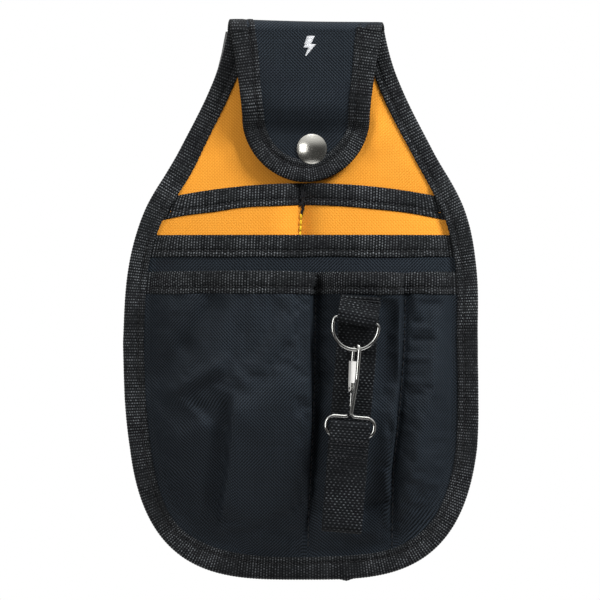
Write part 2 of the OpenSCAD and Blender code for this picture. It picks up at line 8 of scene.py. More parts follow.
import bpy
import numpy as np
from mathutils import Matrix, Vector


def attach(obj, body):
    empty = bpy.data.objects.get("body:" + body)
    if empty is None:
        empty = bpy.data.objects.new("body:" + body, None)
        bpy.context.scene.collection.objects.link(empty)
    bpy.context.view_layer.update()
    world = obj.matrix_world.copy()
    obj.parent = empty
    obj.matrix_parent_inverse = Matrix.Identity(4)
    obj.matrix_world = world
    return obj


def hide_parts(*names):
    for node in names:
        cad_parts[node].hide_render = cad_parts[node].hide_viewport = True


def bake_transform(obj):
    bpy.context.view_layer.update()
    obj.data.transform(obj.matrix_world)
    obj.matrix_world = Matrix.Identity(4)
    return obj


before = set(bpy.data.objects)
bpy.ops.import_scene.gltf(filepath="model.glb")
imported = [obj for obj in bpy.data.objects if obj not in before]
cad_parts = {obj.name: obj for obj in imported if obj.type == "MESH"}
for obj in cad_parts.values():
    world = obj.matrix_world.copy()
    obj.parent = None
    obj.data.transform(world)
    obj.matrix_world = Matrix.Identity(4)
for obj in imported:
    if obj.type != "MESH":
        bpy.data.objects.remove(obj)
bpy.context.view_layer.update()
MM = 0.001
PI = math.pi

# ---- Numbers that the CAD also has ------------------------------------------------------------
# the outline: straight down from the top, out along the shoulders, and a rounded lower end
BODY_DROP, BODY_W, TOP_W, FOLD_TOP = 251.0, 177.5, 78.0, 30.0
WIDE_Z, BOTTOM_H, SQUARENESS = -133.5, 117.5, 3.3
SHOULDER_Z = [42, 30, 0, -36, -66, -96, -133.5, -163.5]
SHOULDER_F = [-0.06, 0, 0.14, 0.49, 0.825, 0.97, 1, 1]
RIM = 12.5  # the outline's part that lies under the binding
# the layers' depths, each pocket's depth at its edge (E) and how far it bulges forward
LINER_Y, BACK_Y, SHEET_T = 3.5, 7.1, 0.5
REAR_E, MIDDLE_E, FRONT_E = 2.6, 1.7, 0.8
MIDDLE_BULGE, REAR_BULGE, CELL_BULGE = 12.4, 6.0, 12.0
# the pockets' mouths: the tape stands a little above these heights
MOUTH_FRONT, MOUTH_MIDDLE, MOUTH_REAR, BAND_H = -97.7, -79.3, -53.4, 10.3
ARCH_DROP, ARCH_X = 6.5, 66.0
# the flap: its thickness, hinge, fold and tip, and its inner face's depth by height
FLAP_T, HINGE_Y, HINGE_Z, FOLD_R = 2.3, 0.45, 23.35, 6.65
TIP_START, FLAP_TIP, FLAP_HALF = -20.0, -52.2, 31.9
FLAP_FACE_Z = [30, 23.35, 10, -4, -14, -20, -24, -27, -28, -60, -70]
FLAP_FACE_Y = [-3.9, -3.9, -4.4, -4.6, -4.2, -2.4, -0.6, 0.3, 0.4, 0.4, 0.4]
SNAP_X, SNAP_Z = 4.2, -35.5
# the strap, in its own frame: Z is 0 at its seam, Y is 0 at its back
WEB_W, WEB_T, LOOP_L = 20.0, 1.4, 115.0
LEAN, TAB_TURN = math.radians(4.7), math.radians(6.5)
BAR_Y, RING_BAR_Z, HOOK_BAR_Z, HOOK_FOLD_Z, TAIL_L = -6.2, -9.2, -66.6, -61.8, 12.0
RING_R, HOOK_R, BORE_GAP = 0.95, 1.0, 0.1


# ---- Small helpers ----------------------------------------------------------------------------
def smooth(a, b, x):
    t = np.clip((np.asarray(x, float) - a) / (b - a), 0, 1)
    return t * t * (3 - 2 * t)


def bell(d, width):
    return np.exp(-((d / width) ** 2))


def unit(v):
    v = np.asarray(v, float)
    return v / np.maximum(np.linalg.norm(v, axis=-1, keepdims=True), 1e-12)


def wobble(seed, *coords):
    """Smooth noise from a few sine waves, about -1 to 1, the same on each run."""
    rng = np.random.default_rng(seed)
    total = 0
    for k in range(6):
        phase = rng.uniform(0, 2 * PI)
        arg = phase
        for c, scale in coords:
            arg = arg + np.asarray(c, float) / scale * 2 * PI * rng.uniform(0.45, 1.5) * rng.choice([-1, 1])
        total = total + np.sin(arg)
    return total / 3.2


def curve(zs, fs, z):
    """The CAD's smooth curve through (zs, fs), for zs that fall."""
    zs, fs, z = np.array(zs, float), np.array(fs, float), np.asarray(z, float)
    i = 1 + (z[..., None] < zs[2:len(zs) - 2]).sum(-1)
    h = zs[i + 1] - zs[i]
    t = (z - zs[i]) / h
    mp = (fs[i + 1] - fs[i - 1]) / (zs[i + 1] - zs[i - 1])
    mq = (fs[i + 2] - fs[i]) / (zs[i + 2] - zs[i])
    return ((2 * t**3 - 3 * t**2 + 1) * fs[i] + (t**3 - 2 * t**2 + t) * h * mp
            + (3 * t**2 - 2 * t**3) * fs[i + 1] + (t**3 - t**2) * h * mq)


def rounded(half, t, power):
    """Half width of a rounded end, from its widest place at t 0 to its tip at t 1."""
    return half * (1 - np.clip(t, 0, 1) ** power) ** (1 / power)


def outline(half_at, half, wide_z, drop, power, n):
    """X and Z from the top left down, round the lower end and up to the top right."""
    z = np.linspace(HINGE_Z, wide_z, n[0])
    a = np.linspace(0, PI / 2, n[1])[1:]
    end = np.stack([half * np.cos(a) ** (2 / power), wide_z - drop * np.sin(a) ** (2 / power)], 1)
    right = np.concatenate([np.stack([half_at(z), z], 1), end])
    return np.concatenate([right * [-1, 1], right[-2::-1]])


def half_w(z):
    """Half the body's width at height z, drawn in by 1.1 mm at the top."""
    z = np.asarray(z, float)
    upper = TOP_W / 2 + (BODY_W - TOP_W) / 2 * curve(SHOULDER_Z, SHOULDER_F, np.minimum(z, FOLD_TOP))
    lower = rounded(BODY_W / 2, (WIDE_Z - z) / BOTTOM_H, SQUARENESS)
    return np.where(z >= WIDE_Z, upper - 1.1 * smooth(-6, 24, z), lower)


def sway(z):
    """The sewn pouch isn't quite symmetrical: how far its middle lies to the right at height z."""
    return np.interp(z, [-185, -160, -132, -90, -75, -50], [0, -1.0, -1.65, -0.4, 0.3, 1.25])


TOP_SWAY = float(sway(0))


def distance_along(points):
    return np.concatenate([[0], np.cumsum(np.linalg.norm(np.diff(points, axis=0), axis=1))])


def resample(points, step):
    """The polyline at even steps, with the distance along it."""
    points = np.asarray(points, float)
    along = distance_along(points)
    n = max(2, int(round(along[-1] / step)) + 1)
    s = np.linspace(0, along[-1], n)
    return np.stack([np.interp(s, along, points[:, k]) for k in range(points.shape[1])], 1), s


def smoothed(a, times):
    for _ in range(times):
        a = np.concatenate([a[:1], (a[:-2] + 2 * a[1:-1] + a[2:]) / 4, a[-1:]])
    return a


def tangents(path):
    return unit(np.gradient(path, axis=0))


# ---- Mesh builders ----------------------------------------------------------------------------
PIECES = {}
TO_FRONT = (0, -1.0, 0)


def build(name, verts, quads, corner_uv, material, angle=50):
    mesh = bpy.data.meshes.new(name)
    mesh.from_pydata((np.asarray(verts) * MM).tolist(), [], np.asarray(quads).tolist())
    layer = mesh.uv_layers.new(name="UVMap")
    layer.data.foreach_set("uv", np.asarray(corner_uv, float).reshape(-1) * MM)
    mesh.polygons.foreach_set("use_smooth", [True] * len(mesh.polygons))
    mesh.set_sharp_from_angle(angle=math.radians(angle))
    mesh.materials.append(material)
    obj = bpy.data.objects.new(name, mesh)
    bpy.context.collection.objects.link(obj)
    PIECES[name] = obj
    return obj


def strip_quads(rows, cols, start=0):
    i, j = np.meshgrid(np.arange(rows - 1), np.arange(cols - 1), indexing="ij")
    p = start + i * cols + j
    return np.stack([p, p + cols, p + cols + 1, p + 1], -1).reshape(-1, 4)


def shell(name, outer, inner, uv, material, angle=50):
    """A closed skin between two grids of points, outer facing away from inner."""
    rows, cols = outer.shape[:2]
    n = rows * cols
    verts = np.concatenate([outer.reshape(-1, 3), inner.reshape(-1, 3)])
    front = strip_quads(rows, cols)
    rear = strip_quads(rows, cols, n)[:, ::-1]
    grid = np.arange(n).reshape(rows, cols)
    ring = np.concatenate([grid[0], grid[1:, -1], grid[-1, -2::-1], grid[-2:0:-1, 0]])
    nxt = np.roll(ring, -1)
    rim = np.stack([ring, nxt, nxt + n, ring + n], 1)
    quads = np.concatenate([front, rear, rim])
    # faces turn outwards: the middle one should look from inner to outer
    middle = front[len(front) // 2]
    a, b, d = verts[middle[[0, 1, 3]]]
    if np.cross(b - a, d - a) @ (verts[middle[0]] - verts[middle[0] + n]) < 0:
        quads = quads[:, ::-1]
    flat = np.asarray(uv, float).reshape(-1, 2)
    flat = np.concatenate([flat, flat])
    return build(name, verts, quads, flat[quads.reshape(-1)], material, angle)


def normals(points):
    """Unit normals of a grid of points, turned towards the front."""
    n = unit(np.cross(np.gradient(points, axis=0), np.gradient(points, axis=1)))
    return np.where(n[..., 1:2] > 0, -n, n)


def grid_uv(u, v):
    return np.stack(np.broadcast_arrays(u, v), -1)


def arc_uv(points, row0=None):
    """UVs from the length of the cloth along each row and column, from row0 and the middle column."""
    du = np.linalg.norm(np.diff(points, axis=1), axis=2)
    dv = np.linalg.norm(np.diff(points, axis=0), axis=2)
    u = np.concatenate([np.zeros((points.shape[0], 1)), np.cumsum(du, 1)], 1)
    v = np.concatenate([np.zeros((1, points.shape[1])), np.cumsum(dv, 0)], 0)
    c = points.shape[1] // 2
    r = points.shape[0] // 2 if row0 is None else row0
    u = (u - u[:, c:c + 1]) * np.sign(points[r, -1, 0] - points[r, 0, 0]) + points[:, c:c + 1, 0]
    v = (v - v[r:r + 1]) * np.sign(points[-1, c, 2] - points[0, c, 2]) + points[r:r + 1, :, 2]
    # cloth gives a little along its bias, so its threads run straighter than the folds would have them
    flat = points[..., [0, 2]]
    return flat + 0.45 * (np.stack([u, v], -1) - flat)


def area_m2(points):
    a, b, c, d = points[:-1, :-1], points[1:, :-1], points[1:, 1:], points[:-1, 1:]
    return float((np.linalg.norm(np.cross(b - a, c - a), axis=-1).sum()
                  + np.linalg.norm(np.cross(c - a, d - a), axis=-1).sum()) / 2 * MM * MM)


def grain_sides(rows, ring):
    """Side faces of a round grain of thread."""
    i, j = np.meshgrid(np.arange(rows - 1), np.arange(ring), indexing="ij")
    k = (j + 1) % ring
    return np.stack([i * ring + j, i * ring + k, (i + 1) * ring + k, (i + 1) * ring + j], -1).reshape(-1, 4)


def grain_fat(rows, power, end):
    """Places along a grain, from -1 to 1, and its thickness there, with blunt ends."""
    t = np.linspace(-1, 1, rows)
    fat = np.sqrt(np.maximum(0, 1 - np.abs(t) ** power))
    fat[0] = fat[-1] = end
    return t, fat[:, None]


def stitches(name, centres, along, up, length, width, height, material):
    """Many short stitches, each a rounded grain of thread."""
    ring, rows = 8, 7
    t, fat = grain_fat(rows, 3.2, 0.25)
    ang = np.arange(ring) / ring * 2 * PI
    centres = np.asarray(centres, float)
    n = len(centres)
    along, up = (np.broadcast_to(np.asarray(v, float), centres.shape) for v in (along, up))
    along = unit(along)
    side = unit(np.cross(along, up))
    up = unit(np.cross(side, along))
    rise = fat * np.sin(ang) * height / 2 + ((1 - t**2) * height * 0.35)[:, None]
    verts = centres[:, None, None] + (along[:, None, None] * (t * length / 2)[:, None, None]
                                      + side[:, None, None] * (fat * np.cos(ang) * width / 2)[:, :, None]
                                      + up[:, None, None] * rise[:, :, None])
    fans = np.array([(0, 1, 2, 3), (0, 3, 4, 7), (4, 5, 6, 7)])
    one = np.concatenate([grain_sides(rows, ring), fans[:, ::-1], fans + (rows - 1) * ring])
    quads = (one + (np.arange(n) * rows * ring)[:, None, None]).reshape(-1, 4)[:, ::-1]
    uv = grid_uv((t * length / 2)[:, None] + np.arange(n)[:, None, None] * length, ang / (2 * PI) * width * 3)
    return build(name, verts.reshape(-1, 3), quads, uv.reshape(-1, 2)[quads.reshape(-1)], material, 80)


def tape_stitches(name, centres, along, up=TO_FRONT, height=0.34):
    stitches(name, centres, along, up, 2.3, 0.55, height, THREAD_DARK)


# ---- Materials --------------------------------------------------------------------------------
class Value:
    """A node's output. Arithmetic with it adds Math nodes."""

    def __init__(self, nodes, socket):
        self.nodes, self.socket = nodes, socket

    def __add__(self, other):
        return self.nodes.math("ADD", self, other)

    def __sub__(self, other):
        return self.nodes.math("SUBTRACT", self, other)

    def __mul__(self, other):
        return self.nodes.math("MULTIPLY", self, other)

    def __truediv__(self, other):
        return self.nodes.math("DIVIDE", self, other)

    def __mod__(self, other):
        return self.nodes.math("MODULO", self, other)

    def __pow__(self, other):
        return self.nodes.math("POWER", self, other)


class Nodes:
    """Short ways to add nodes to one material."""

    def __init__(self, name):
        self.material = bpy.data.materials.new(name)
        self.material.use_nodes = True
        self.tree = self.material.node_tree
        self.shader = next(n for n in self.tree.nodes if n.type == "BSDF_PRINCIPLED")

    def put(self, socket, value):
        if isinstance(value, Value):
            self.tree.links.new(value.socket, socket)
        else:
            socket.default_value = value

    def node(self, kind, out=0, props=None, **inputs):
        """Add a node. An input is named i and its number, or by its name with _ for a space."""
        n = self.tree.nodes.new(kind)
        for key, value in (props or {}).items():
            setattr(n, key, value)
        for key, value in inputs.items():
            numbered = key[0] == "i" and key[1:].isdigit()
            self.put(n.inputs[int(key[1:]) if numbered else key.replace("_", " ")], value)
        return Value(self, n.outputs[out])

    def math(self, op, a, b=0.0):
        return self.node("ShaderNodeMath", props={"operation": op}, i0=a, i1=b)

    def between(self, factor, a, b):
        return self.node("ShaderNodeMix", i0=factor, i2=a, i3=b)

    def mix(self, factor, a, b):
        return self.node("ShaderNodeMix", 2, {"data_type": "RGBA"}, i0=factor, i6=(*a, 1), i7=(*b, 1))

    def uv(self):
        out = self.node("ShaderNodeTexCoord", out=2)
        return (out, *(self.node("ShaderNodeSeparateXYZ", k, Vector=out) for k in (0, 1)))

    def place(self):
        return self.node("ShaderNodeTexCoord", out=3)

    def noise(self, vector, scale, detail=2.0, rough=0.5):
        return self.node("ShaderNodeTexNoise", Vector=vector, Scale=scale, Detail=detail, Roughness=rough)

    def scaled(self, vector, factors):
        return self.node("ShaderNodeVectorMath", props={"operation": "MULTIPLY"}, i0=vector, i1=factors)

    def spread(self, value, low, high, to_low=0.0, to_high=1.0, **props):
        return self.node("ShaderNodeMapRange", props=props, i0=value, i1=low, i2=high, i3=to_low, i4=to_high)

    def finish(self, colour, roughness, height, distance, **fixed):
        s = self.shader.inputs
        self.put(s["Base Color"], colour)
        self.put(s["Roughness"], roughness)
        self.put(s["Normal"], self.node("ShaderNodeBump", Height=height, Distance=distance, Strength=1.0))
        for key, value in fixed.items():
            s[key.replace("_", " ")].default_value = value
        return self.material


FAR = 10000.0  # added before FRACT or MODULO, so that neither meets a number below zero


def grey(v):
    return (v, v, v)


def weave_material(name, dark, light, bump, spec, rough, slub, contrast, cross, pitch=0.85 * MM):
    """Plain weave: warp and weft cross over by turns, so the crossings line up along the diagonals."""
    m = Nodes(name)
    uv, u, v = m.uv()
    cu, cv = u / pitch, v / pitch
    parity = (m.math("FLOOR", cu) + (m.math("FLOOR", cv) + FAR)) % 2.0
    su, sv = (m.math("SINE", m.math("FRACT", c) * PI) for c in (cu, cv))
    height = m.between(parity, su ** 0.6 * sv ** 0.35, sv ** 0.6 * su ** 0.35)
    # threads vary a little in thickness and shade along their length
    slubs = m.between(parity, *(m.noise(m.scaled(uv, (a / pitch, b / pitch, 1)), 1.0)
                                for a, b in ((1, 0.03), (0.03, 1))))
    patch = m.noise(uv, 28.0, 3)
    # the crossings show as fine diagonal lines, stronger one way or the other from place to place
    lines = (m.math("SINE", c * PI) for c in (cu + cv, cu - cv))
    diagonal = m.between(m.spread(m.noise(uv, 22.0, 1), 0.42, 0.58), *lines)
    shade = height * m.spread(parity, 0.0, 1.0, 0.8, 0.8 - contrast) + diagonal * cross
    shade = shade + (slubs - 0.5) * slub + (patch - 0.5) * 0.3
    colour = m.mix(m.spread(shade, 0.0, 0.95), dark, light)
    return m.finish(colour, m.spread(slubs, 0.3, 0.7, *rough), height + slubs * 0.4, bump,
                    Specular_IOR_Level=spec)


def ribbed_material(name, dark, light, pitch, dash_pitch, dash_len, dash_wide, offset):
    """Ribbed tape: ribs across its length, each showing its thread in short bright dashes, partly lighter
    yarn and partly a painted highlight on it.
    """
    m = Nodes(name)
    uv, u, v = m.uv()
    cu, cv = u / pitch, v / dash_pitch
    row = m.math("FLOOR", cu)
    rib = m.math("SINE", m.math("FRACT", cu) * PI)
    jitter = m.node("ShaderNodeTexWhiteNoise", props={"noise_dimensions": "1D"}, W=row)
    along = cv + FAR + ((row + FAR) % 2.0 * offset + jitter * 0.3)
    away = m.math("ABSOLUTE", m.math("FRACT", along) - 0.5)
    soft = {"interpolation_type": "SMOOTHSTEP"}
    dash = m.spread(away, dash_len / 2 + 0.09, dash_len / 2 - 0.09, **soft)
    grain = dash * m.spread(rib, 1 - dash_wide, 1.0, **soft)
    cell = m.node("ShaderNodeCombineXYZ", X=row, Y=m.math("FLOOR", along))
    each = m.node("ShaderNodeTexWhiteNoise", props={"noise_dimensions": "2D"}, Vector=cell)
    patch = m.noise(uv, 42.0, 3)
    streak = m.noise(m.scaled(uv, (1.0, 0.15, 1)), 260.0)
    # the dashes' colour is partly the yarn's own lighter floats and partly painted highlight; the patch noise
    # brightens and dims that painted highlight from place to place
    dash_and_glint = grain * m.spread(each, 0.0, 1.0, 0.2, 1.15) * m.spread(patch, 0.36, 0.64, 0.25, 1.35)
    dash_and_glint = dash_and_glint + m.spread(streak, 0.3, 0.7) * 0.06
    return m.finish(m.mix(dash_and_glint, dark, light), m.spread(grain, 0.0, 1.0, 0.85, 0.5), rib * 0.5 + grain * 0.6,
                    0.00018, Specular_IOR_Level=0.15)


def thread_material(name, dark, light, pitch=0.00045):
    """Twisted thread, with the ply showing as slanting lines."""
    m = Nodes(name)
    uv, u, v = m.uv()
    twist = m.math("SINE", (u / pitch + v / (pitch * 1.4)) * (2 * PI))
    tone = m.spread(twist, -1.0, 1.0, 0.1, 0.8) + (m.noise(uv, 2500.0) - 0.5) * 0.5
    return m.finish(m.mix(tone, dark, light), m.spread(twist, -1.0, 1.0, 0.6, 0.35), twist, 0.00004,
                    Specular_IOR_Level=0.35)


def metal_material(name, colour, dull, rough, scale, metallic=1.0):
    """Nickel plate: a little uneven, with fine rubbed marks and dull spots."""
    m = Nodes(name)
    place = m.place()
    wide = m.noise(place, scale, 3)
    fine = m.noise(m.scaled(place, (1, 1, 6)), scale * 14, 3, 0.65)
    specks = m.noise(place, scale * 25, 1)
    base = m.mix(m.spread(wide + fine * 0.35, 0.5, 0.95), colour, dull)
    roughness = m.spread(fine, 0.35, 0.7, *rough) + m.spread(specks, 0.74, 0.84, 0.0, 0.08)
    return m.finish(base, roughness, wide + fine * 0.08, 0.00004, Metallic=metallic, Specular_IOR_Level=0.5)


def foam_material():
    m = Nodes("stiffener_foam")
    place = m.place()
    cells = m.node("ShaderNodeTexVoronoi", Vector=place, Scale=1800.0)
    patch = m.noise(place, 60.0)
    colour = m.mix(m.spread(cells + patch, 0.4, 1.2), grey(0.12), grey(0.26))
    return m.finish(colour, m.spread(patch, 0.3, 0.7, 0.8, 0.95), cells, 0.0002, Specular_IOR_Level=0.2)


NYLON = weave_material("black_nylon_weave", (0.0032, 0.0041, 0.0052), (0.0315, 0.041, 0.053), 0.00008, 0.12,
                       (0.6, 0.8), 0.5, 0.5, 0.42)
CANVAS = weave_material("orange_canvas_weave", (0.72, 0.25, 0.019), (0.93, 0.42, 0.06), 0.00005, 0.06,
                        (0.7, 0.85), 0.35, 0.3, 0.22)
# the tape's and webbing's light colours are their dashes: partly lighter yarn, partly painted highlight
TAPE = ribbed_material("binding_grosgrain", (0.0042, 0.0047, 0.0054), (0.125, 0.134, 0.142),
                       1.45 * MM, 1.35 * MM, 0.6, 0.34, 0.35)
WEBBING = ribbed_material("strap_webbing", (0.0036, 0.0042, 0.005), (0.075, 0.082, 0.088),
                          1.35 * MM, 2.2 * MM, 0.36, 0.36, 0.5)
THREAD_YELLOW = thread_material("seam_thread_yellow", (0.72, 0.42, 0.01), (0.95, 0.7, 0.05))
THREAD_DARK = thread_material("seam_thread_dark", (0.004, 0.004, 0.005), (0.03, 0.031, 0.034))
THREAD_WHITE = thread_material("badge_satin_thread", (0.55, 0.57, 0.6), (0.93, 0.94, 0.96), 0.0005)
NICKEL = metal_material("nickel_plate", (0.62, 0.62, 0.6), (0.4, 0.4, 0.38), (0.12, 0.24), 60.0)
# the gate's near-white colour at low metallic is a painted reflection: it stands in for the bright glint the
# gate shows from the front
GATE_PAINTED_GLINT = metal_material("gate_painted_glint", (0.95, 0.94, 0.91), (0.86, 0.85, 0.82), (0.45, 0.55), 60.0, 0.35)
SNAP_NICKEL = metal_material("snap_plate", (0.66, 0.65, 0.6), (0.46, 0.44, 0.39), (0.2, 0.3), 45.0)
FOAM = foam_material()


# ---- The pockets' surfaces --------------------------------------------------------------------
def ring_of(x, z):
    upper = np.abs(x) / (half_w(z) - RIM)
    lower = ((np.abs(x) / (BODY_W / 2 - RIM)) ** SQUARENESS
             + (np.maximum(WIDE_Z - z, 0) / (BOTTOM_H - RIM)) ** SQUARENESS) ** (1 / SQUARENESS)
    return np.where(z >= WIDE_Z, upper, lower)


def pillow(x, z, edge=0.99, power=3.0):
    return np.maximum(0, 1 - (ring_of(x, z) / edge) ** power) * (1 - 0.5 * smooth(-160, -245, z))


def pinned(d, w):
    return 1 - (1 - np.minimum(np.maximum(np.abs(d) - 1, 0) / w, 1)) ** 3


def rear_edge(x):
    return MOUTH_REAR - ARCH_DROP * (x / ARCH_X) ** 2


def seam_a(z):
    return np.interp(z, [-237, -216, -196, -176, -156, -100], [2.2, 2.6, 3.7, 4.6, 5.4, 6.2]) - sway(z)


def seam_b(z):
    return np.interp(z, [-237, -196, -176, -156, -136, -100], [44.2, 44.8, 46.9, 48.8, 50.3, 51]) - sway(z)


def divider_x(z):
    return -0.95 + 0.045 * (np.maximum(z, -85) + 62) - sway(z)


def from_line(points, x, z):
    """Distance right of a polyline that runs down, at the same height, and how far down it is, 0 to 1."""
    zs = np.array([p[1] for p in points], float)
    xs = np.array([p[0] for p in points], float)
    return x + sway(z) - np.interp(z, zs[::-1], xs[::-1]), (zs[0] - z) / (zs[0] - zs[-1])


def fold(points, x, z, depth, left, right, ends=0.18):
    """A fold that runs along a polyline: depth towards the back, falling off to either side."""
    d, t = from_line(points, x, z)
    fade = smooth(0, ends, t) * smooth(1, 1 - ends, t)
    return depth * fade * np.where(d < 0, bell(d, left), bell(d, right))


def slanting_fold(p, q, x, z, depth, width):
    """The same for a fold at a slant, between two points."""
    p, q = np.array(p, float), np.array(q, float)
    d = q - p
    length = np.linalg.norm(d)
    right = x + sway(z) - p[0]
    t = (right * d[0] + (z - p[1]) * d[1]) / length**2
    off = (right * d[1] - (z - p[1]) * d[0]) / length
    return depth * smooth(-0.12, 0.18, t) * smooth(1.12, 0.82, t) * bell(off, width)


def rear_y(x, z):
    return REAR_E - REAR_BULGE * pillow(x, z) * pinned(x - divider_x(z), 18)


def middle_y(x, z):
    return MIDDLE_E - MIDDLE_BULGE * pillow(x, z)


def pleat(d, z, zs, widths, left, power):
    """Height of a cell beside a seam: round at its left, where cloth is tucked under, slower at its right."""
    wide = np.interp(z, zs, widths)
    return np.where(d < 0, pinned(d, left), 1 - (1 - np.clip((d - 1) / wide, 0, 1)) ** power)


def tuck(d, z):
    """How far the cloth left of a seam hangs over it to the right."""
    return np.where(d < 0, smooth(-20, -4, d) * smooth(-1, -3.4, d), 0) * (1.2 + 1.4 * smooth(-120, -175, z))


def overlap(points, x, z, low, high, left, right, top=0.12):
    """A fold whose right side stands high over its left side, with a sharp step between them."""
    d, t = from_line(points, x, z)
    fade = smooth(-0.02, top, t) * smooth(1.12, 0.82, t)
    crest = (low + high) * bell(d, 0.8) - high * bell(d - 1.0, right)
    return fade * np.where(d < 0, low * bell(d, left), crest)


def front_y(x, z):
    full = pillow(x, z)
    right = x - seam_b(z)
    cell_b = pleat(x - seam_a(z), z, [-237, -210, -185, -165, -152], [8, 9, 11, 13, 22], 4.6, 1.9)
    cell_c = pleat(right, z, [-237, -216, -196, -176, -156, -120], [6, 8, 10, 12, 15, 21], 3.6, 1.2)
    y = FRONT_E - full * (MIDDLE_BULGE + CELL_BULGE * cell_b * cell_c)
    y = y - np.where(right > 0, (full ** 0.7 - full) * CELL_BULGE * cell_c, 0)
    px = x + sway(z)
    folds = (
        overlap([(-36.8, -157), (-37.6, -170), (-38.6, -190), (-42.3, -215), (-46.6, -238)], x, z,
                4.6, 2.9, 8.0, 10)
        # soft slanting folds from the crease's top to the left
        + slanting_fold((-42, -108), (-60, -136), x, z, 3.4, 6)
        + slanting_fold((-56, -132), (-78, -154), x, z, 3.4, 5.5)
        + slanting_fold((-38, -141), (-70, -159), x, z, -3.4, 5)
        + slanting_fold((-46, -172), (-70, -186), x, z, -1.8, 7)
        + slanting_fold((-8, -112), (-34, -130), x, z, 1.0, 8)
        + slanting_fold((-6, -150), (-30, -176), x, z, -1.2, 8)
        # middle cell: its left side and the cloth right of the strap lie low
        + fold([(14, -100), (14, -140), (12, -190), (11, -236)], x, z, 2.2, 7, 8)
        + fold([(43, -100), (40, -130), (36.5, -160), (33.5, -190), (31, -236)], x, z, 5.4, 7, 7.5)
        # right cell: its crest runs at a slant
        + fold([(78, -100), (68, -140), (64, -158), (58, -176), (53, -196), (48.5, -216), (45.5, -238)], x, z,
               -3.3, 8, 9)
    )
    # the mouth leans out between the seams
    lean = bell(px + 27, 16) + 1.5 * bell(px - 27, 15) + 0.4 * bell(px - 64, 8)
    lean = lean * smooth(-116, MOUTH_FRONT, z)
    return y + smooth(0, 0.35, full) * folds - 2.4 * lean


def mouth_wave(x, z):
    """How the front pocket's mouth rises and falls along its length, and the cloth below it."""
    wave = 0.5 * np.sin((x + 74) / 26) * bell(x + 30, 60) - 0.5 * bell(x - 50, 6) - 0.4 * bell(x - 5, 5)
    return wave * smooth(-125, MOUTH_FRONT, z)


SURFACES = {"rear": rear_y, "middle": middle_y, "front": front_y}
EXTRA = {}


def sheet_point(kind, x, z):
    x, z = np.broadcast_arrays(np.asarray(x, float), np.asarray(z, float))
    y = SURFACES[kind](x, z)
    if kind in EXTRA:
        y = y + EXTRA[kind](x, z)
    if kind == "front":
        lean = tuck(x - seam_a(z), z) + 0.7 * tuck(x - seam_b(z), z)
        x = x + lean * smooth(0, 0.35, pillow(x, z))
    return np.stack([x, y, z], -1)


def settle(kind, step=3.0, frames=24, give=0.035, most=2.2):
    """Cloth simulation of a pocket: held along its border, seams and mouth, and a little too large."""
    xs, zs = np.arange(-81, 81.1, step), np.arange(-245, MOUTH_FRONT + 0.1, step)
    flat_x, flat_z = np.meshgrid(xs, zs)
    start = sheet_point(kind, flat_x, flat_z)
    seam = np.minimum(np.abs(flat_x - seam_a(flat_z)), np.abs(flat_x - seam_b(flat_z)))
    held = (pillow(flat_x, flat_z) < 0.06) | (seam < 2.2) | (flat_z > MOUTH_FRONT - BAND_H)
    mesh = bpy.data.meshes.new("settling")
    mesh.from_pydata((start.reshape(-1, 3) * MM).tolist(), [], strip_quads(*start.shape[:2]).tolist())
    obj = bpy.data.objects.new("settling", mesh)
    bpy.context.collection.objects.link(obj)
    obj.vertex_groups.new(name="held").add(np.flatnonzero(held.reshape(-1)).tolist(), 1.0, "REPLACE")
    cloth = obj.modifiers.new("Cloth", "CLOTH")
    c = cloth.settings
    c.quality, c.mass, c.vertex_group_mass = 8, 0.25, "held"
    c.tension_stiffness = c.compression_stiffness = 25
    c.shear_stiffness, c.bending_stiffness, c.air_damping = 8, 0.6, 4
    c.shrink_min = -give
    c.effector_weights.gravity = 0.3
    cloth.point_cache.frame_start, cloth.point_cache.frame_end = 1, frames
    scene = bpy.context.scene
    for f in range(1, frames + 1):
        scene.frame_set(f)
    done = obj.evaluated_get(bpy.context.evaluated_depsgraph_get()).to_mesh()
    moved = np.empty(len(done.vertices) * 3)
    done.vertices.foreach_get("co", moved)
    scene.frame_set(1)
    bpy.data.objects.remove(obj)
    shift = np.clip((moved.reshape(start.shape) / MM - start)[..., 1], -most, most)
    shift = np.where(held, 0, shift)

    def sample(x, z):
        i = np.clip((np.asarray(z, float) - zs[0]) / step, 0, len(zs) - 1.001)
        j = np.clip((np.asarray(x, float) - xs[0]) / step, 0, len(xs) - 1.001)
        a, b = i.astype(int), j.astype(int)
        u, v = i - a, j - b
        u, v = u * u * (3 - 2 * u), v * v * (3 - 2 * v)
        return ((1 - u) * ((1 - v) * shift[a, b] + v * shift[a, b + 1])
                + u * ((1 - v) * shift[a + 1, b] + v * shift[a + 1, b + 1]))

    return sample


def spread(a, b, n):
    """Places from a to b, closer together near both ends."""
    return a + (b - a) * (0.5 - 0.5 * np.cos(PI * np.linspace(0, 1, n)))


def columns(z, dense):
    """Columns of a pocket's grid at height z, with some on each seam's flat strip."""
    we, wi = float(half_w(z)) - 3.2, float(half_w(z)) - RIM
    a, b, c = float(seam_a(z)), min(float(seam_b(z)), wi - 4), float(divider_x(z))
    rim, left, gap, middle, right = (max(3, int(round(mm / dense))) for mm in (9, 75, 6, 42, 30))
    return np.concatenate([
        np.linspace(-we, -wi, rim)[:-1], spread(-wi, c - 1, left), spread(c + 1, a - 1, gap),
        spread(a + 1, b - 1, middle), spread(b + 1, wi, right), np.linspace(wi, we, rim)[1:]])


LEVEL_Z = -110.0  # a pocket's rows are level below this, and lead up to its mouth above it


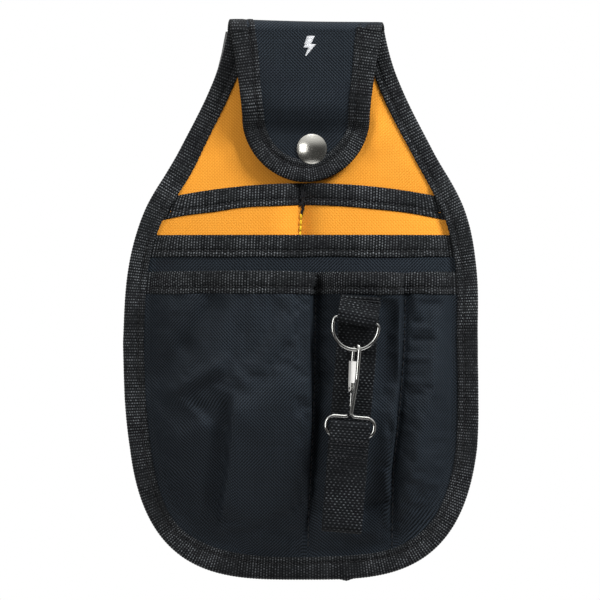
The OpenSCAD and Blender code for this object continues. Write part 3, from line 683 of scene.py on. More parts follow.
def pocket_grid(kind, dense):
    """Points of a pocket's front, from its bottom to its mouth, rows by columns."""
    heights = [*np.arange(-BODY_DROP + 5.5, -200, dense), *np.arange(-200, LEVEL_Z, dense), LEVEL_Z]
    if kind != "rear":
        end = MOUTH_FRONT if kind == "front" else MOUTH_MIDDLE
        heights += [*np.linspace(LEVEL_Z, end, max(3, int((end - LEVEL_Z) / dense) + 1))[1:]]
    rows = [sheet_point(kind, columns(z, dense), z) for z in heights]
    if kind == "rear":
        start, last = rows[-1][:, 0], columns(MOUTH_REAR - ARCH_DROP, dense)
        for t in np.linspace(0, 1, int(48 / dense))[1:]:
            x = start + (last - start) * t
            rows.append(sheet_point(kind, x, LEVEL_Z + (rear_edge(x) - LEVEL_Z) * t))
    return np.array(rows)


def pocket(name, kind, material, dense):
    p = pocket_grid(kind, dense)
    if kind == "front":
        p[..., 2] += mouth_wave(p[..., 0], p[..., 2])
    shell(name, p, p - normals(p) * SHEET_T, arc_uv(p, row0=p.shape[0] - 1), material)
    return area_m2(p)


# ---- Tape over a pocket's mouth ---------------------------------------------------------------
BEAD_W = 3.2  # from a tape's inner edge to its stitches


def bead_profile(a, width, edge=BEAD_W):
    """Height of a folded tape over its seat: a row of thread in a groove, a soft crown either side."""
    groove = 0.55 * bell(a - (width - edge), 0.75)
    crown = 0.2 * np.sin(PI * np.clip(a / (width - edge), 0, 1))
    lip = 0.16 * np.sin(PI * np.clip((a - (width - edge)) / edge, 0, 1))
    return crown + lip - groove


RIB_PITCH, STITCH_PITCH = 1.45, 3.1


def ribs(s):
    return 0.09 * np.cos(2 * PI * s / RIB_PITCH)


def mouth_tape(name, kind, edge_z, seed, step=RIB_PITCH / 4):
    """Ribbed tape folded over a mouth, its ends under the edge binding. edge_z gives the mouth's height."""
    span = 60.0
    for _ in range(40):
        span = float(half_w(edge_z(np.array(span)))) - 7.2
    x = np.linspace(-span, span, int(2 * span / step))
    z0 = edge_z(x)
    mid = sheet_point(kind, x, z0)
    s = distance_along(mid) - span
    h = BAND_H + 0.25 * wobble(seed, (x, 40))
    thin = 1 - 0.8 * smooth(span - 7.5, span - 3.6, np.abs(x))
    end = np.sign(x) * smooth(0.72, 1, np.abs(x) / span)
    rib = ribs(s) * thin

    def at(a, along=0.0):
        """Points at depth a below the mouth, on the cloth."""
        out = x + end * (half_w(z0 - a) - half_w(z0)) + along
        z = edge_z(out) - a
        p = sheet_point(kind, out, z)
        if kind == "front":
            p[:, 2] += mouth_wave(x, z)
        return p

    outer, inner, v = [], [], []
    for f in np.concatenate([np.linspace(1, 0.70, 8), np.linspace(0.66, 0.06, 9)]):
        a = f * h
        p = at(a)
        n = unit(np.cross(at(a, 0.4) - p, at(a - 0.4) - p))
        n = np.where(n[:, 1:2] > 0, -n, n)
        rise = 0.12 + thin * (0.38 + bead_profile(a, h)) + rib * (1 if f < 0.995 else 0.3)
        rise = np.where(a > h - 0.01, 0.1 + 0.18 * thin, rise)
        if kind == "rear":
            rise = rise - 0.55 * bell(x - divider_x(z0), 1.5)
        outer.append(p + n * rise[:, None])
        inner.append(p + n * 0.05)
        v.append(float(np.mean(a)))
    top = at(0)
    for ang in np.radians(np.linspace(10, 170, 7)):
        r = 0.62 + 0.3 * math.sin(ang)
        outer.append(top + np.stack([0 * x, 0.25 - math.cos(ang) * (r + 0.15) * thin,
                                     math.sin(ang) * (r - 0.1) + rib * 0.7], 1))
        inner.append(top + [0, 0.25 - math.cos(ang) * 0.3, 0.06 * math.sin(ang) + 0.05])
        v.append(-ang / PI * 2)
    for f in np.linspace(0.08, 1, 7):
        p = at(f * h)
        outer.append(p + np.stack([0 * x, SHEET_T + 0.36 + rib * 0.4, 0 * x], 1))
        inner.append(p + [0, SHEET_T + 0.06, 0])
        v.append(-2 - f * 11)
    shell(name, np.array(outer), np.array(inner), grid_uv(s, np.array(v)[:, None]), TAPE, 70)
    # one row of stitches in the groove
    groove = at(h - BEAD_W)
    pick = np.arange(int(6 / step), len(x) - int(6 / step), int(round(STITCH_PITCH / step)))
    tape_stitches(name + "_thread", groove[pick] + [0, -0.36, 0], groove[pick + 1] - groove[pick],
                  (0, -1.0, 0.05))


# ---- Edge binding -----------------------------------------------------------------------------
# a tape section's points: on its front face, round the edge, and on its rear face
FACE, TURN, REAR = slice(0, 15), slice(15, 23), slice(23, None)


def tape_skin(name, s, outer, inner, row=20):
    """A tape's skin from its sections along s. UVs run along it and across the section at row."""
    outer, inner = np.array(outer), np.array(inner)
    shell(name, outer, inner, grid_uv(s[:, None], distance_along(outer[row])), TAPE, 70)


def placed(section, base, inward, back):
    return base + np.outer(section[:, 0], inward) + np.outer(section[:, 1], back)


def tape_section(width, yf, yr, wall=0.7, rear_width=10.0, round_a=2.0):
    """Outer and inner points of a tape folded over an edge: distance in from the edge, and depth."""
    a1 = width * np.concatenate([[1.0], np.linspace(0.992, 0.72, 7), np.linspace(0.68, 0.22, 7)])
    y1 = yf - bead_profile(a1, width)
    y1[0] = yf + 0.34  # the tape's edge, pressed into the cloth
    ang = np.linspace(0.12, 0.88, 8) * PI
    mid, half = (yf + yr) / 2, (yr - yf) / 2
    a2 = round_a * (1 - np.sin(ang))
    y2 = mid - (half + 0.05) * np.cos(ang) / math.cos(0.12 * PI)
    a3 = rear_width * np.array([0.24, 0.45, 0.62, 0.7, 0.74, 0.79, 0.9, 0.985, 1.0])
    y3 = yr + np.where(a3 < rear_width * 0.999, 0.4 * bead_profile(a3, rear_width), 0)
    outer = np.stack([np.concatenate([a1, a2, a3]), np.concatenate([y1, y2, y3])], 1)
    depths = np.full(len(a1), yf + 0.62), np.clip(y2, yf + 0.62, yr - 0.62), np.full(len(a3), yr - 0.62)
    inner = np.stack([np.concatenate([a1, a2 + wall, a3]), np.concatenate(depths)], 1)
    return outer, inner


def edge_tape():
    path = outline(half_w, BODY_W / 2, WIDE_Z, BOTTOM_H, SQUARENESS, (300, 300))
    path, s = resample(path, RIB_PITCH / 4)
    tan = tangents(smoothed(path, 30))
    inward = np.stack([-tan[:, 1], tan[:, 0]], 1)
    z = path[:, 1]
    yf = 2.8 - 2.7 * smooth(-47, -57.5, z)
    width = (10.4 + 1.2 * smooth(-225, -246, z) + 0.9 * smooth(0, 22, z)
             + 0.35 * wobble(3, (s, 70)) + 0.07 * np.cos(2 * PI * s / STITCH_PITCH))
    rib = ribs(s)
    outer, inner = [], []
    depth_w = 0.18 * wobble(5, (s, 35))
    join = bell(path[:, 0] - 21.5, 2.2) * (z < -200)
    for k in range(len(s)):
        o, i = tape_section(width[k], yf[k] - 0.02, BACK_Y)
        base = np.array([path[k, 0], 0, path[k, 1]])
        nin = np.array([inward[k, 0], 0, inward[k, 1]])
        oo, ii = (placed(sec, base, nin, [0, 1, 0]) for sec in (o, i))
        across = np.sin(PI * np.clip(o[FACE, 0] / width[k], 0, 1))
        oo[FACE, 1] += depth_w[k] * across - rib[k] - 0.55 * join[k]
        oo[TURN] -= nin * (rib[k] * 0.8 + 0.9 * join[k])
        oo[REAR, 1] += rib[k] * 0.4
        outer.append(oo)
        inner.append(ii)
    tape_skin("edge_tape", s, outer, inner, len(s) // 2)
    at = np.arange(6, s[-1] - 6, STITCH_PITCH)
    px, pz, nx, nz, tx, tz, w, front = (np.interp(at, s, a) for a in (*path.T, *inward.T, *tan.T, width, yf))
    along = np.stack([tx, 0 * tx, tz], 1)
    for label, depth, inset, sign in (("front", front + 0.22, w - BEAD_W, -1),
                                      ("rear", BACK_Y + 0.02 + 0 * at, 7.3, 1)):
        c = np.stack([px + nx * inset, depth, pz + nz * inset], 1)
        tape_stitches(f"edge_tape_thread_{label}", c, along, (0, sign, 0))


# ---- Flap -------------------------------------------------------------------------------------
TIP_POWER = 1.93


def flap_face(z):
    return curve(FLAP_FACE_Z, FLAP_FACE_Y, z)


def flap_half(z):
    z = np.asarray(z, float)
    top = FLAP_HALF + (TOP_W / 2 - FLAP_HALF) * (np.maximum(0, z - TIP_START) / (FOLD_TOP - TIP_START)) ** 1.3
    tip = rounded(FLAP_HALF, (TIP_START - z) / (TIP_START - FLAP_TIP), TIP_POWER)
    return np.where(z >= TIP_START, top, tip)


def from_snap(x, z):
    return np.hypot(x - SNAP_X, z - SNAP_Z)


def flap_grid(above, below, columns):
    """X and Z over the flap, with rows above and below the place where it narrows."""
    z = np.concatenate([np.linspace(HINGE_Z, -28, above), np.linspace(-28, -51.2, below)[1:]])
    half = np.maximum(flap_half(z) - 1.2, 1.0)[:, None]
    x = np.linspace(-1, 1, columns) * half
    return x, np.broadcast_to(z[:, None], x.shape), half


def flap_cover():
    x, zz, half = flap_grid(60, 34, 81)
    inset = np.minimum(half - np.abs(x), zz - FLAP_TIP - 1.0)
    puff = smooth(7, 20, inset) * smooth(-31, -14, zz)
    swell = 0.75 * puff + 0.25 * wobble(12, (x, 45), (zz, 60)) * smooth(8, 14, inset)
    # the snap pulls the cloth in around its cap
    swell = swell - 0.35 * bell(from_snap(x + sway(zz), zz) - 8.5, 3.5) * smooth(9, 13, inset)
    for high, p, q, width in ((0.35, (6, -26), (24, 4), 3.5), (-0.45, (-8, -30), (-24, -12), 5),
                              (-0.3, (-14, -38), (-22, -20), 3)):
        swell = swell + high * slanting_fold(p, q, x, zz, 1, width)
    face = flap_face(zz) - FLAP_T
    p = np.stack([x, face + 0.05 - swell, zz], -1)
    shell("flap_cover", p, np.stack([x, face + 0.55, zz], -1), arc_uv(p, row0=0), NYLON)
    return area_m2(p)


def flap_underside():
    x, zz, _ = flap_grid(34, 20, 49)
    face = flap_face(zz)
    y = face - 0.06 + 0.12 * wobble(21, (x, 30), (zz, 35)) * smooth(7, 12, from_snap(x + sway(zz), zz))
    p = np.stack([x, np.minimum(y, face - 0.02), zz], -1)
    shell("flap_underside", p, np.stack([x, face - 0.5, zz], -1), arc_uv(p, row0=0), NYLON)
    return area_m2(p)


def flap_tape():
    path = outline(flap_half, FLAP_HALF, TIP_START, TIP_START - FLAP_TIP, TIP_POWER, (80, 200))
    path, s = resample(np.stack([path[:, 0], flap_face(path[:, 1]), path[:, 1]], 1), RIB_PITCH / 4)
    tan = tangents(smoothed(path, 20))
    back = np.tile([0.0, 1.0, 0.0], (len(s), 1))
    back = unit(back - tan * (back * tan).sum(1, keepdims=True))
    inward = unit(np.cross(tan, back))
    centre = np.array([0.0, 0.0, -10.0])
    inward = np.where(((centre - path) * inward).sum(1, keepdims=True) < 0, -inward, inward)
    rib = ribs(s)
    width = (11.0 + 1.4 * smooth(-5, 22, path[:, 2]) + 0.3 * wobble(9, (s, 50))
             + 0.07 * np.cos(2 * PI * s / STITCH_PITCH))
    front = -FLAP_T - 0.55
    outer, inner = [], []
    for k in range(len(s)):
        o, i = tape_section(width[k], front, 0.35, wall=0.55, rear_width=10.2, round_a=1.6)
        near = from_snap(path[k, 0] + inward[k, 0] * o[:, 0] + TOP_SWAY, path[k, 2] + inward[k, 2] * o[:, 0])
        # the tape is pressed flat under the cap in front, and round the socket behind
        sink, hollow = np.zeros(len(o)), np.zeros(len(o))
        sink[FACE] = smooth(9.0, 7.2, near[FACE])
        hollow[REAR] = smooth(7.4, 6.0, near[REAR])
        for sec, under_cap, by_socket in ((o, 0.52, 0.0), (i, 0.7, -0.15)):
            sec[:, 1] = sec[:, 1] * (1 - sink) + (front + under_cap) * sink
            sec[:, 1] = sec[:, 1] * (1 - hollow) + by_socket * hollow
        oo, ii = (placed(sec, path[k], inward[k], back[k]) for sec in (o, i))
        oo[FACE] -= back[k] * (rib[k] * (1 - sink[FACE]))[:, None]
        oo[TURN] -= inward[k] * rib[k] * 0.8
        oo[REAR] += back[k] * rib[k] * 0.4
        outer.append(oo)
        inner.append(ii)
    tape_skin("flap_tape", s, outer, inner)
    at = np.arange(2, s[-1] - 2, STITCH_PITCH)
    p, n, b, t = (np.stack([np.interp(at, s, c) for c in a.T], 1) for a in (path, inward, back, tan))
    n, b = unit(n), unit(b)
    w = np.interp(at, s, width) - BEAD_W
    for label, c, sign, clear, height in (("front", p + n * w[:, None] + b * (front + 0.22), -1, 8.6, 0.34),
                                          ("rear", p + n * 7.5 + b * 0.34, 1, 7.0, 0.3)):
        keep = from_snap(c[:, 0] + TOP_SWAY, c[:, 2]) > clear
        tape_stitches(f"flap_tape_thread_{label}", c[keep], t[keep], sign * b[keep], height)


def top_height(x):
    """The fold's top dips a little between its ends and leans down to the right."""
    return 28.85 - 0.02 * x - 0.45 * bell(x, 30)


def fold_cover():
    """The back's cloth turned over into the flap."""
    c = np.linspace(-1, 1, 81)
    grids = {"outer": [], "inner": []}
    for a in np.linspace(0, PI, 25):
        t = a / PI
        x = c * ((float(half_w(HINGE_Z)) - 0.9) * (1 - t) + (float(flap_half(HINGE_Z)) - 1.2) * t)
        tall = (top_height(x) - HINGE_Z) / FOLD_R - 1
        for side, r, share in (("outer", FOLD_R - 0.02, 1), ("inner", 3.1 * (1 - t) + 4.4 * t, 0.3)):
            z = HINGE_Z + np.sin(a) * r * (1 + tall * share)
            grids[side].append(np.stack([x, np.full_like(x, HINGE_Y + math.cos(a) * r), z], 1))
    outer, inner = (np.array(grid) for grid in grids.values())
    turn = HINGE_Z + np.arange(25) * (PI * 5.6 / 24)
    shell("fold_cover", outer, inner, grid_uv(outer[..., 0], turn[:, None]), NYLON)
    return area_m2(outer)


def fold_tapes():
    """The binding where it goes over the fold, at each side."""
    ang = np.linspace(0, PI, 60)
    s = ang * 5.6
    rib = ribs(s)
    centre = np.array([0, HINGE_Y, HINGE_Z])
    for side, label in ((-1, "left"), (1, "right")):
        outer, inner = [], []
        for k, a in enumerate(ang):
            e = float(smooth(0, 1, a / PI))
            edge = float(half_w(HINGE_Z)) * (1 - e) + float(flap_half(HINGE_Z)) * e
            crest = math.sin(a)
            r_face = FOLD_R * (1 + ((float(top_height(side * edge)) - HINGE_Z) / FOLD_R - 1) * crest)
            thick = 4.3 * (1 - e) + 3.2 * e - 0.8 * crest
            over = (0.02 * (1 - e) + 0.57 * e) * (1 - crest) - 0.1 * crest
            # section: depth 0 is the face that looks outwards, thick the one inside the fold
            o, i = tape_section(11.3 * (1 - e) + 12.4 * e, 0.0, thick, 0.6, 9.5, 1.7 - 0.9 * crest)
            o[FACE, 1] *= 1 - 0.6 * crest
            direction = np.array([0, math.cos(a), crest])
            for sec, store in ((o, outer), (i, inner)):
                pts = centre + np.outer(r_face + over - sec[:, 1], direction)
                pts[:, 0] = side * (edge - sec[:, 0])
                store.append(pts)
            outer[-1][FACE] += direction * rib[k]
            outer[-1][TURN, 0] += side * rib[k] * 0.8
        tape_skin(f"fold_tape_{label}", s, outer, inner)


BOLT = ((-0.1, 0.5), (0.28, 0.5), (0.06, 0.1), (0.32, 0.1), (-0.2, -0.5), (-0.04, -0.06), (-0.3, -0.06))


def badge():
    """A plain bolt in satin stitch: close threads side by side, each a raised grain."""
    bolt = np.array(BOLT) * 10.5 + [1.5, 15.5]
    rng = np.random.default_rng(4)
    ring, rows = 6, 9
    ang = np.arange(ring) / ring * 2 * PI
    t, fat = grain_fat(rows, 4, 0.3)
    ends = np.array([(0, 1, 2, 3), (0, 3, 4, 5)])
    faces = np.concatenate([grain_sides(rows, ring), ends, ends + (rows - 1) * ring])
    verts, uvs = [], []
    for z in np.arange(bolt[:, 1].min() + 0.15, bolt[:, 1].max(), 0.34):
        cuts = sorted(x0 + (x1 - x0) * (z - z0) / (z1 - z0)
                      for (x0, z0), (x1, z1) in zip(bolt, np.roll(bolt, -1, axis=0)) if (z0 > z) != (z1 > z))
        for a, b in zip(cuts[::2], cuts[1::2]):
            if b - a <= 0.3:
                continue
            px = ((a + b) / 2 + t * (b - a + 0.35) / 2 + rng.uniform(-0.1, 0.1))[:, None]
            arch = 0.3 * (1 - t**2)[:, None]
            y = float(flap_face(z)) - FLAP_T - 0.57 - arch - fat * 0.2 * np.sin(ang)
            verts.append(np.stack(np.broadcast_arrays(px, y, z + fat * 0.2 * np.cos(ang)), -1).reshape(-1, 3))
            uvs.append(grid_uv(px, ang * 0.1).reshape(-1, 2))
    quads = np.concatenate([faces + k * rows * ring for k in range(len(verts))])
    corner_uv = np.concatenate(uvs)[quads.reshape(-1)]
    build("badge_bolt", np.concatenate(verts), quads, corner_uv, THREAD_WHITE, 80)


# ---- Back and liner ---------------------------------------------------------------------------
def panel(name, outer_y, inner_y, top_inset, material):
    z = np.linspace(HINGE_Z, -248.0, 130)
    half = np.maximum(half_w(z) - 0.9 - (top_inset - 0.9) * smooth(-20, 8, z), 2)
    x = np.linspace(-1, 1, 90) * half[:, None]
    zz = np.broadcast_to(z[:, None], x.shape)
    room = np.minimum(half_w(zz) - np.abs(x), zz + BODY_DROP)
    p = np.stack([x, outer_y(x, zz, room), zz], -1)
    shell(name, p, np.stack([x, np.full_like(x, inner_y), zz], -1), arc_uv(p), material)
    return area_m2(p)


def liner_front(x, z, room):
    ripple = (0.45 * (0.5 + 0.5 * wobble(31, (x, 34), (z, 46)))
              + 0.9 * fold([(34, 20), (39, -8), (33, -44)], x, z, 1, 3.5, 4)
              + 0.6 * fold([(-36, 16), (-41, -12), (-34, -46)], x, z, 1, 4, 4))
    return LINER_Y - ripple * smooth(12, 22, room) * smooth(-52, -40, z)


def back_face(x, z, room):
    free = smooth(10.5, 16, room)
    return BACK_Y - 0.55 + 0.5 * free - 0.12 * (1 + wobble(41, (x, 60), (z, 70))) * free


# ---- Strap ------------------------------------------------------------------------------------
WEB_RIB = 1.3
TAB_PIVOT = np.array([0, 0, 1.0])  # the ring's tab hangs askew, turned about 1 mm below the strap's origin


def strap_origin():
    bulge = pillow(np.array(28.0), np.array(-112.0), 0.95, 4) * (MIDDLE_BULGE + CELL_BULGE)
    return np.array([28.2, float(FRONT_E - bulge) - 1.15, -112.0])


def rotated(p, angle):
    """Turned about Y, so that its foot goes to the left."""
    c, s = math.cos(angle), math.sin(angle)
    return np.stack([p[..., 0] * c + p[..., 2] * s, p[..., 1], p[..., 2] * c - p[..., 0] * s], -1)


def strap_world(p):
    """From the strap's own frame to the shared one."""
    return strap_origin() + rotated(np.asarray(p, float), LEAN)


def webbing(name, path, seed, askew=0.0):
    """A flat strap along a path in Y and Z, with soft edges and a ribbed face."""
    path, s = resample(path, WEB_RIB / 4)
    tan = unit(np.gradient(smoothed(path, 6), axis=0))
    nrm = np.stack([-tan[:, 1], tan[:, 0]], 1)
    across = np.array([-1, -0.985, -0.95, -0.9, *np.linspace(-0.8, 0.8, 9), 0.9, 0.95, 0.985, 1]) * WEB_W / 2
    edge = np.sqrt(np.maximum(0, 1 - np.clip((np.abs(across) - (WEB_W / 2 - 0.7)) / 0.7, 0, 1) ** 2))
    selvage = 0.07 * bell(np.abs(across) - (WEB_W / 2 - 1.2), 0.7)
    rib = 0.05 * np.cos(2 * PI * s / WEB_RIB)
    h = WEB_T / 2 * (0.25 + 0.75 * edge) + (selvage + rib[:, None]) * edge - 0.02
    x = across + 0.12 * wobble(seed, (s, 40))[:, None]
    faces = []
    for sign in (1, -1):
        p = np.stack([x, *(path[:, k, None] + sign * h * nrm[:, k, None] for k in (0, 1))], -1)
        faces.append(strap_world(rotated(p + TAB_PIVOT, askew) - TAB_PIVOT))
    shell(name, *faces, grid_uv(s[:, None], across), WEBBING, 60)


def arc(cy, cz, r, a0, a1, n=24):
    a = np.radians(np.linspace(a0, a1, n))
    return [(cy + r * math.cos(v), cz + r * math.sin(v)) for v in a]


def make_strap():
    half = WEB_T / 2
    gap = -BAR_Y - WEB_T + HOOK_R + BORE_GAP
    r = HOOK_R + BORE_GAP + half + 0.06
    tail_y = BAR_Y - r + WEB_T
    webbing("strap_web", [
        (-half, -0.1), *arc(-WEB_T - gap / 2, -LOOP_L + gap / 2 + WEB_T, gap / 2 + half, 0, -180),
        *arc(BAR_Y, HOOK_FOLD_Z, r, 180, 0),
        (BAR_Y + r, HOOK_BAR_Z - 0.5), (BAR_Y + r - 0.25, HOOK_BAR_Z - 2), (tail_y + 0.35, HOOK_BAR_Z - 5.5),
        (tail_y + 0.06, HOOK_BAR_Z - 7), (tail_y + 0.06, HOOK_BAR_Z - TAIL_L)], 6)
    r = RING_R + BORE_GAP + half
    cz = RING_BAR_Z - 0.35
    webbing("ring_tab_web", [
        (-WEB_T - 0.1 - half, 1.5), (BAR_Y + r - 0.1, cz + 3), *arc(BAR_Y, cz, r, 0, -180),
        (BAR_Y - r + 0.2, cz + 3), (-2.5 * WEB_T - 0.12, 0.2), (-2.5 * WEB_T + 0.2, 1.5)], 8, TAB_TURN)
    # the sewn-down ends above them
    front_y = -3 * WEB_T - 0.1
    across = np.array([-1, -0.985, -0.95, *np.linspace(-0.88, 0.88, 15), 0.95, 0.985, 1]) * WEB_W / 2
    xx, zz = np.meshgrid(across, np.arange(0.05, 3.1, WEB_RIB / 8))
    soft = np.sqrt(np.maximum(0, 1 - np.clip((np.abs(xx) - (WEB_W / 2 - 0.8)) / 0.8, 0, 1) ** 2))
    soft = soft * (1 - 0.35 * smooth(2.2, 3.1, zz))
    front = np.stack([xx, front_y * (0.35 + 0.65 * soft) + 0.15 * bell(zz - 0.8, 0.5), zz], -1)
    rear = np.stack([xx, np.full_like(xx, -0.03), zz], -1)
    shell("anchor_web", strap_world(front), strap_world(rear), grid_uv(zz, xx), WEBBING)
    # a row of stitches through them, and the box over the hook's fold
    xs = np.linspace(-WEB_W / 2 + 1.6, WEB_W / 2 - 1.6, 9)
    yf = BAR_Y - (HOOK_R + BORE_GAP + WEB_T) - 0.08
    box = [(x, yf, HOOK_BAR_Z - dz) for dz in (2.6, 4.6) for x in xs]
    box += [(x, yf, HOOK_BAR_Z - dz) for x in (xs[0], xs[-1]) for dz in (7.0, 9.0)]
    box += [(x, yf, HOOK_BAR_Z - 10.6) for x in xs]
    row = [(x, front_y - 0.12, 0.8) for x in xs]
    for name, places in (("anchor_thread", row), ("strap_box_thread", box)):
        stitches(name, strap_world(places), rotated(np.array([1.0, 0, 0]), LEAN), TO_FRONT, 1.7, 0.5, 0.35,
                 THREAD_DARK)


# ---- Seams ------------------------------------------------------------------------------------
def divider_seam():
    z = -69.2 - np.arange(40) * 3.0
    x = divider_x(z)
    t = np.stack([divider_x(z + 1) - x, 0 * z, np.ones(len(z))], 1)
    c = sheet_point("rear", x, z) + [0, -0.3, 0]
    stitches("divider_thread", c, t, TO_FRONT, 3.1, 1.2, 0.8, THREAD_YELLOW)
    # the bartack: wide over the tape, narrow below it
    rng = np.random.default_rng(2)
    z = np.concatenate([np.linspace(MOUTH_REAR - 0.8, MOUTH_REAR - BAND_H - 0.5, 54),
                        np.linspace(-65, -68.2, 12)])
    on_band = z > MOUTH_REAR - BAND_H
    wide = np.where(on_band, 1.25, 0.95 - 0.24 * (-64.7 - z))
    x = divider_x(z) + 0.4 + rng.uniform(-1, 1, len(z)) * wide
    c = sheet_point("rear", x, z) + np.stack([0 * z, np.where(on_band, -0.75, -0.3), 0 * z], 1)
    t = np.stack([rng.uniform(-0.7, 0.7, len(z)), 0 * z, np.ones(len(z))], 1)
    stitches("divider_tack", c, t, TO_FRONT, 1.9, 0.6, 0.5, THREAD_DARK)


def cell_seams():
    z = MOUTH_FRONT - BAND_H - 4 - np.arange(32) * 3.9
    z = z[z > -238]
    c, t = [], []
    for seam in (seam_a, seam_b):
        here = sheet_point("front", seam(z), z)
        c.append(here + [0, -0.1, 0])
        t.append(sheet_point("front", seam(z + 0.5), z + 0.5) - here)
    stitches("cell_thread", np.concatenate(c), np.concatenate(t), TO_FRONT, 2.9, 0.5, 0.4, THREAD_DARK)


# ---- Camera, light and floor ------------------------------------------------------------------
EYE = (-0.00175, -4.1667, -0.111)  # a long lens from far off, as the pouch shows no perspective
FLOOR_Z, FLOOR_R, FLOOR_N = -0.95, 0.75, 96


def make_stage():
    cam = bpy.data.cameras.new("camera")
    cam.lens, cam.sensor_width, cam.clip_end = 500, 36, 50
    eye = bpy.data.objects.new("camera", cam)
    bpy.context.collection.objects.link(eye)
    eye.location, eye.rotation_euler = EYE, (PI / 2, 0, 0)
    bpy.context.scene.camera = eye
    bpy.context.scene.view_settings.view_transform = "Standard"
    rim = [(math.cos(a) * FLOOR_R, math.sin(a) * FLOOR_R, 0) for a in np.arange(FLOOR_N) / FLOOR_N * 2 * PI]
    mesh = bpy.data.meshes.new("floor")
    mesh.from_pydata([(0, 0, 0)] + rim, [], [(0, 1 + k, 1 + (k + 1) % FLOOR_N) for k in range(FLOOR_N)])
    floor = bpy.data.objects.new("floor", mesh)
    floor.location = (0, 0, FLOOR_Z)
    bpy.context.collection.objects.link(floor)
    m = Nodes("pale_floor")
    place = m.place()
    tone = m.mix(m.spread(m.noise(place, 6.0, 3), 0.3, 0.7), grey(0.62), grey(0.66))
    mesh.materials.append(m.finish(tone, 0.7, m.noise(place, 900.0), 0.00005))
    world = bpy.data.worlds.new("studio")
    bpy.context.scene.world = world
    world.use_nodes = True
    t = world.node_tree
    t.nodes.clear()

    def node(kind, **props):
        n = t.nodes.new(kind)
        for key, value in props.items():
            setattr(n, key, value)
        return n

    def ramp(source, *values):
        n = node("ShaderNodeMapRange", interpolation_type="SMOOTHSTEP")
        for k, value in enumerate(values, 1):
            n.inputs[k].default_value = value
        t.links.new(source, n.inputs[0])
        return n.outputs[0]

    split = node("ShaderNodeSeparateXYZ")
    t.links.new(node("ShaderNodeTexCoord").outputs["Generated"], split.inputs[0])
    largest = ramp(split.outputs[1], 0.2, 0.8, 0.0, 1.0)  # behind the object
    for axis, *fade in ((2, 0.1, 0.8, 0.06, 1.0), (2, -0.75, -0.95, 0.0, 0.2),  # above, below
                        (0, 0.8, 0.95, 0.0, 0.3), (0, -0.85, -0.97, 0.0, 0.25)):  # right, left
        n = node("ShaderNodeMath", operation="MAXIMUM")
        t.links.new(largest, n.inputs[0])
        t.links.new(ramp(split.outputs[axis], *fade), n.inputs[1])
        largest = n.outputs[0]
    studio, backdrop = node("ShaderNodeBackground"), node("ShaderNodeBackground")
    t.links.new(largest, studio.inputs["Color"])
    backdrop.inputs["Color"].default_value = (*grey(1.0), 1)
    seen = node("ShaderNodeMixShader")
    t.links.new(node("ShaderNodeLightPath").outputs["Is Camera Ray"], seen.inputs[0])
    t.links.new(studio.outputs[0], seen.inputs[1])
    t.links.new(backdrop.outputs[0], seen.inputs[2])
    t.links.new(seen.outputs[0], node("ShaderNodeOutputWorld").inputs["Surface"])
    aim = Vector((0, 0, -0.11))
    for name, where, size, power in (("key", (1.1, -0.75, 1.1), (0.6, 0.6), 47.0),
                                     ("fill", (-1.0, -1.4, 0.1), (0.8, 0.9), 10.0),
                                     ("top", (0.1, -0.35, 1.2), (0.9, 0.5), 5.5)):
        light = bpy.data.lights.new(name, "AREA")
        light.shape = "RECTANGLE"
        light.size, light.size_y = size
        light.energy = power
        obj = bpy.data.objects.new(name, light)
        obj.location = where
        obj.visible_glossy = name != "key"
        obj.rotation_euler = (Vector(where) - aim).to_track_quat("Z", "Y").to_euler()
        bpy.context.collection.objects.link(obj)


# ---- Making the pouch -------------------------------------------------------------------------
make_stage()

EXTRA["front"] = settle("front")
AREAS = {
    "front_pocket_cloth": pocket("front_pocket_cloth", "front", NYLON, 1.15),
    "middle_pocket_cloth": pocket("middle_pocket_cloth", "middle", NYLON, 2.2),
    "rear_pocket_cloth": pocket("rear_pocket_cloth", "rear", CANVAS, 1.6),
    "liner_canvas": panel("liner_canvas", liner_front, LINER_Y + 0.55, 5.0, CANVAS),
    "back_shell": panel("back_shell", back_face, BACK_Y - 1.15, 0.9, NYLON),
}
mouth_tape("front_mouth_tape", "front", lambda x: np.full_like(x, MOUTH_FRONT), 16)
mouth_tape("middle_mouth_tape", "middle", lambda x: np.full_like(x, MOUTH_MIDDLE), 17)
mouth_tape("rear_mouth_tape", "rear", rear_edge, 15)
edge_tape()
AREAS["flap_cover"] = flap_cover()
AREAS["flap_underside"] = flap_underside()
flap_tape()
badge()
AREAS["fold_cover"] = fold_cover()
fold_tapes()
make_strap()
divider_seam()
cell_seams()

# ---- What rides on what, and what it stands for -----------------------------------------------
FOLDED = "fold"  # on no body: its transform is baked in where it stands
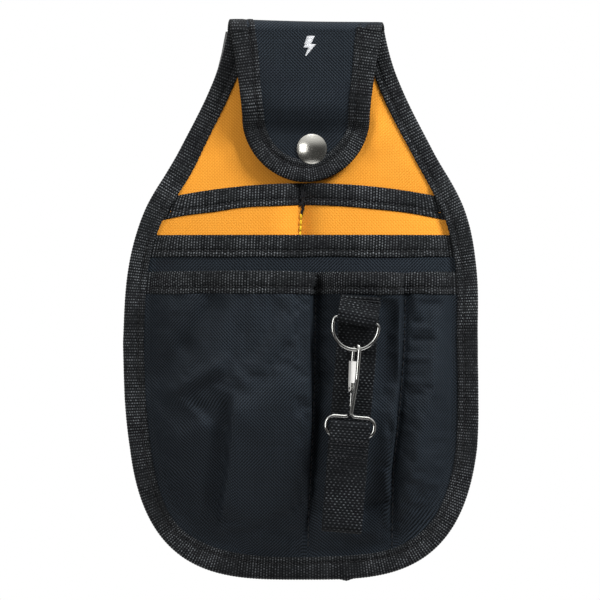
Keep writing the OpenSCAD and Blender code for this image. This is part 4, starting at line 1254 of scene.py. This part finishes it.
# each piece's body, its material slot, and the CAD node that it stands for
PARTS = {
    "front_pocket_cloth": ("root", "black_nylon", "front_pocket"),
    "middle_pocket_cloth": ("root", "black_nylon", "middle_pocket"),
    "rear_pocket_cloth": ("root", "orange_canvas", "rear_pocket"),
    "liner_canvas": ("root", "orange_canvas", "front_liner"),
    "back_shell": ("root", "black_nylon", "back_panel"),
    "front_mouth_tape": ("root", "binding_tape", "front_pocket_binding"),
    "middle_mouth_tape": ("root", "binding_tape", "middle_pocket_binding"),
    "rear_mouth_tape": ("root", "binding_tape", "rear_pocket_binding"),
    "front_mouth_tape_thread": ("root", "dark_thread", None),
    "middle_mouth_tape_thread": ("root", "dark_thread", None),
    "rear_mouth_tape_thread": ("root", "dark_thread", None),
    "edge_tape": ("root", "binding_tape", "edge_binding"),
    "edge_tape_thread_front": ("root", "dark_thread", None),
    "edge_tape_thread_rear": ("root", "dark_thread", None),
    "anchor_web": ("root", "webbing", "strap_anchor"),
    "anchor_thread": ("root", "dark_thread", "anchor_stitching"),
    "divider_thread": ("root", "seam_thread", "divider_stitching"),
    "divider_tack": ("root", "dark_thread", "divider_bartack"),
    "cell_thread": ("root", "dark_thread", "cell_stitching"),
    "flap_cover": ("flap", "black_nylon", "flap_shell"),
    "flap_underside": ("flap", "black_nylon", "flap_lining"),
    "flap_tape": ("flap", "binding_tape", "flap_binding"),
    "flap_tape_thread_front": ("flap", "dark_thread", None),
    "flap_tape_thread_rear": ("flap", "dark_thread", None),
    "badge_bolt": ("flap", "badge_thread", "flap_badge"),
    "strap_web": ("strap", "webbing", "tape_strap"),
    "ring_tab_web": ("strap", "webbing", "ring_tab"),
    "strap_box_thread": ("strap", "dark_thread", "strap_box_stitch"),
    "fold_cover": (FOLDED, "black_nylon", "flap_fold"),
    "fold_tape_left": (FOLDED, "binding_tape", None),
    "fold_tape_right": (FOLDED, "binding_tape", None),
}
UNSWAYED = ("strap_web", "ring_tab_web", "strap_box_thread", "anchor_web", "anchor_thread")
for name, (body, slot, node) in PARTS.items():
    piece = PIECES[name]
    if name not in UNSWAYED:
        points = np.empty(len(piece.data.vertices) * 3)
        piece.data.vertices.foreach_get("co", points)
        points[0::3] += sway(points[2::3] / MM) * MM
        piece.data.vertices.foreach_set("co", points)
        piece.data.update()
    if body == FOLDED:
        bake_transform(piece)
    else:
        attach(piece, body)
    if node:
        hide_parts(node)

for material, nodes in ((FOAM, ("back_stiffener", "flap_stiffener")),
                        (SNAP_NICKEL, ("snap_cap", "snap_socket", "snap_stud", "snap_eyelet", "snap_spring")),
                        (NICKEL, ("d_ring", "hook_frame", "gate_pin", "gate_spring")),
                        (GATE_PAINTED_GLINT, ("hook_gate",))):
    for node in nodes:
        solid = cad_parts[node]
        for slot in solid.material_slots:
            slot.material = material
        if not solid.material_slots:
            solid.data.materials.append(material)
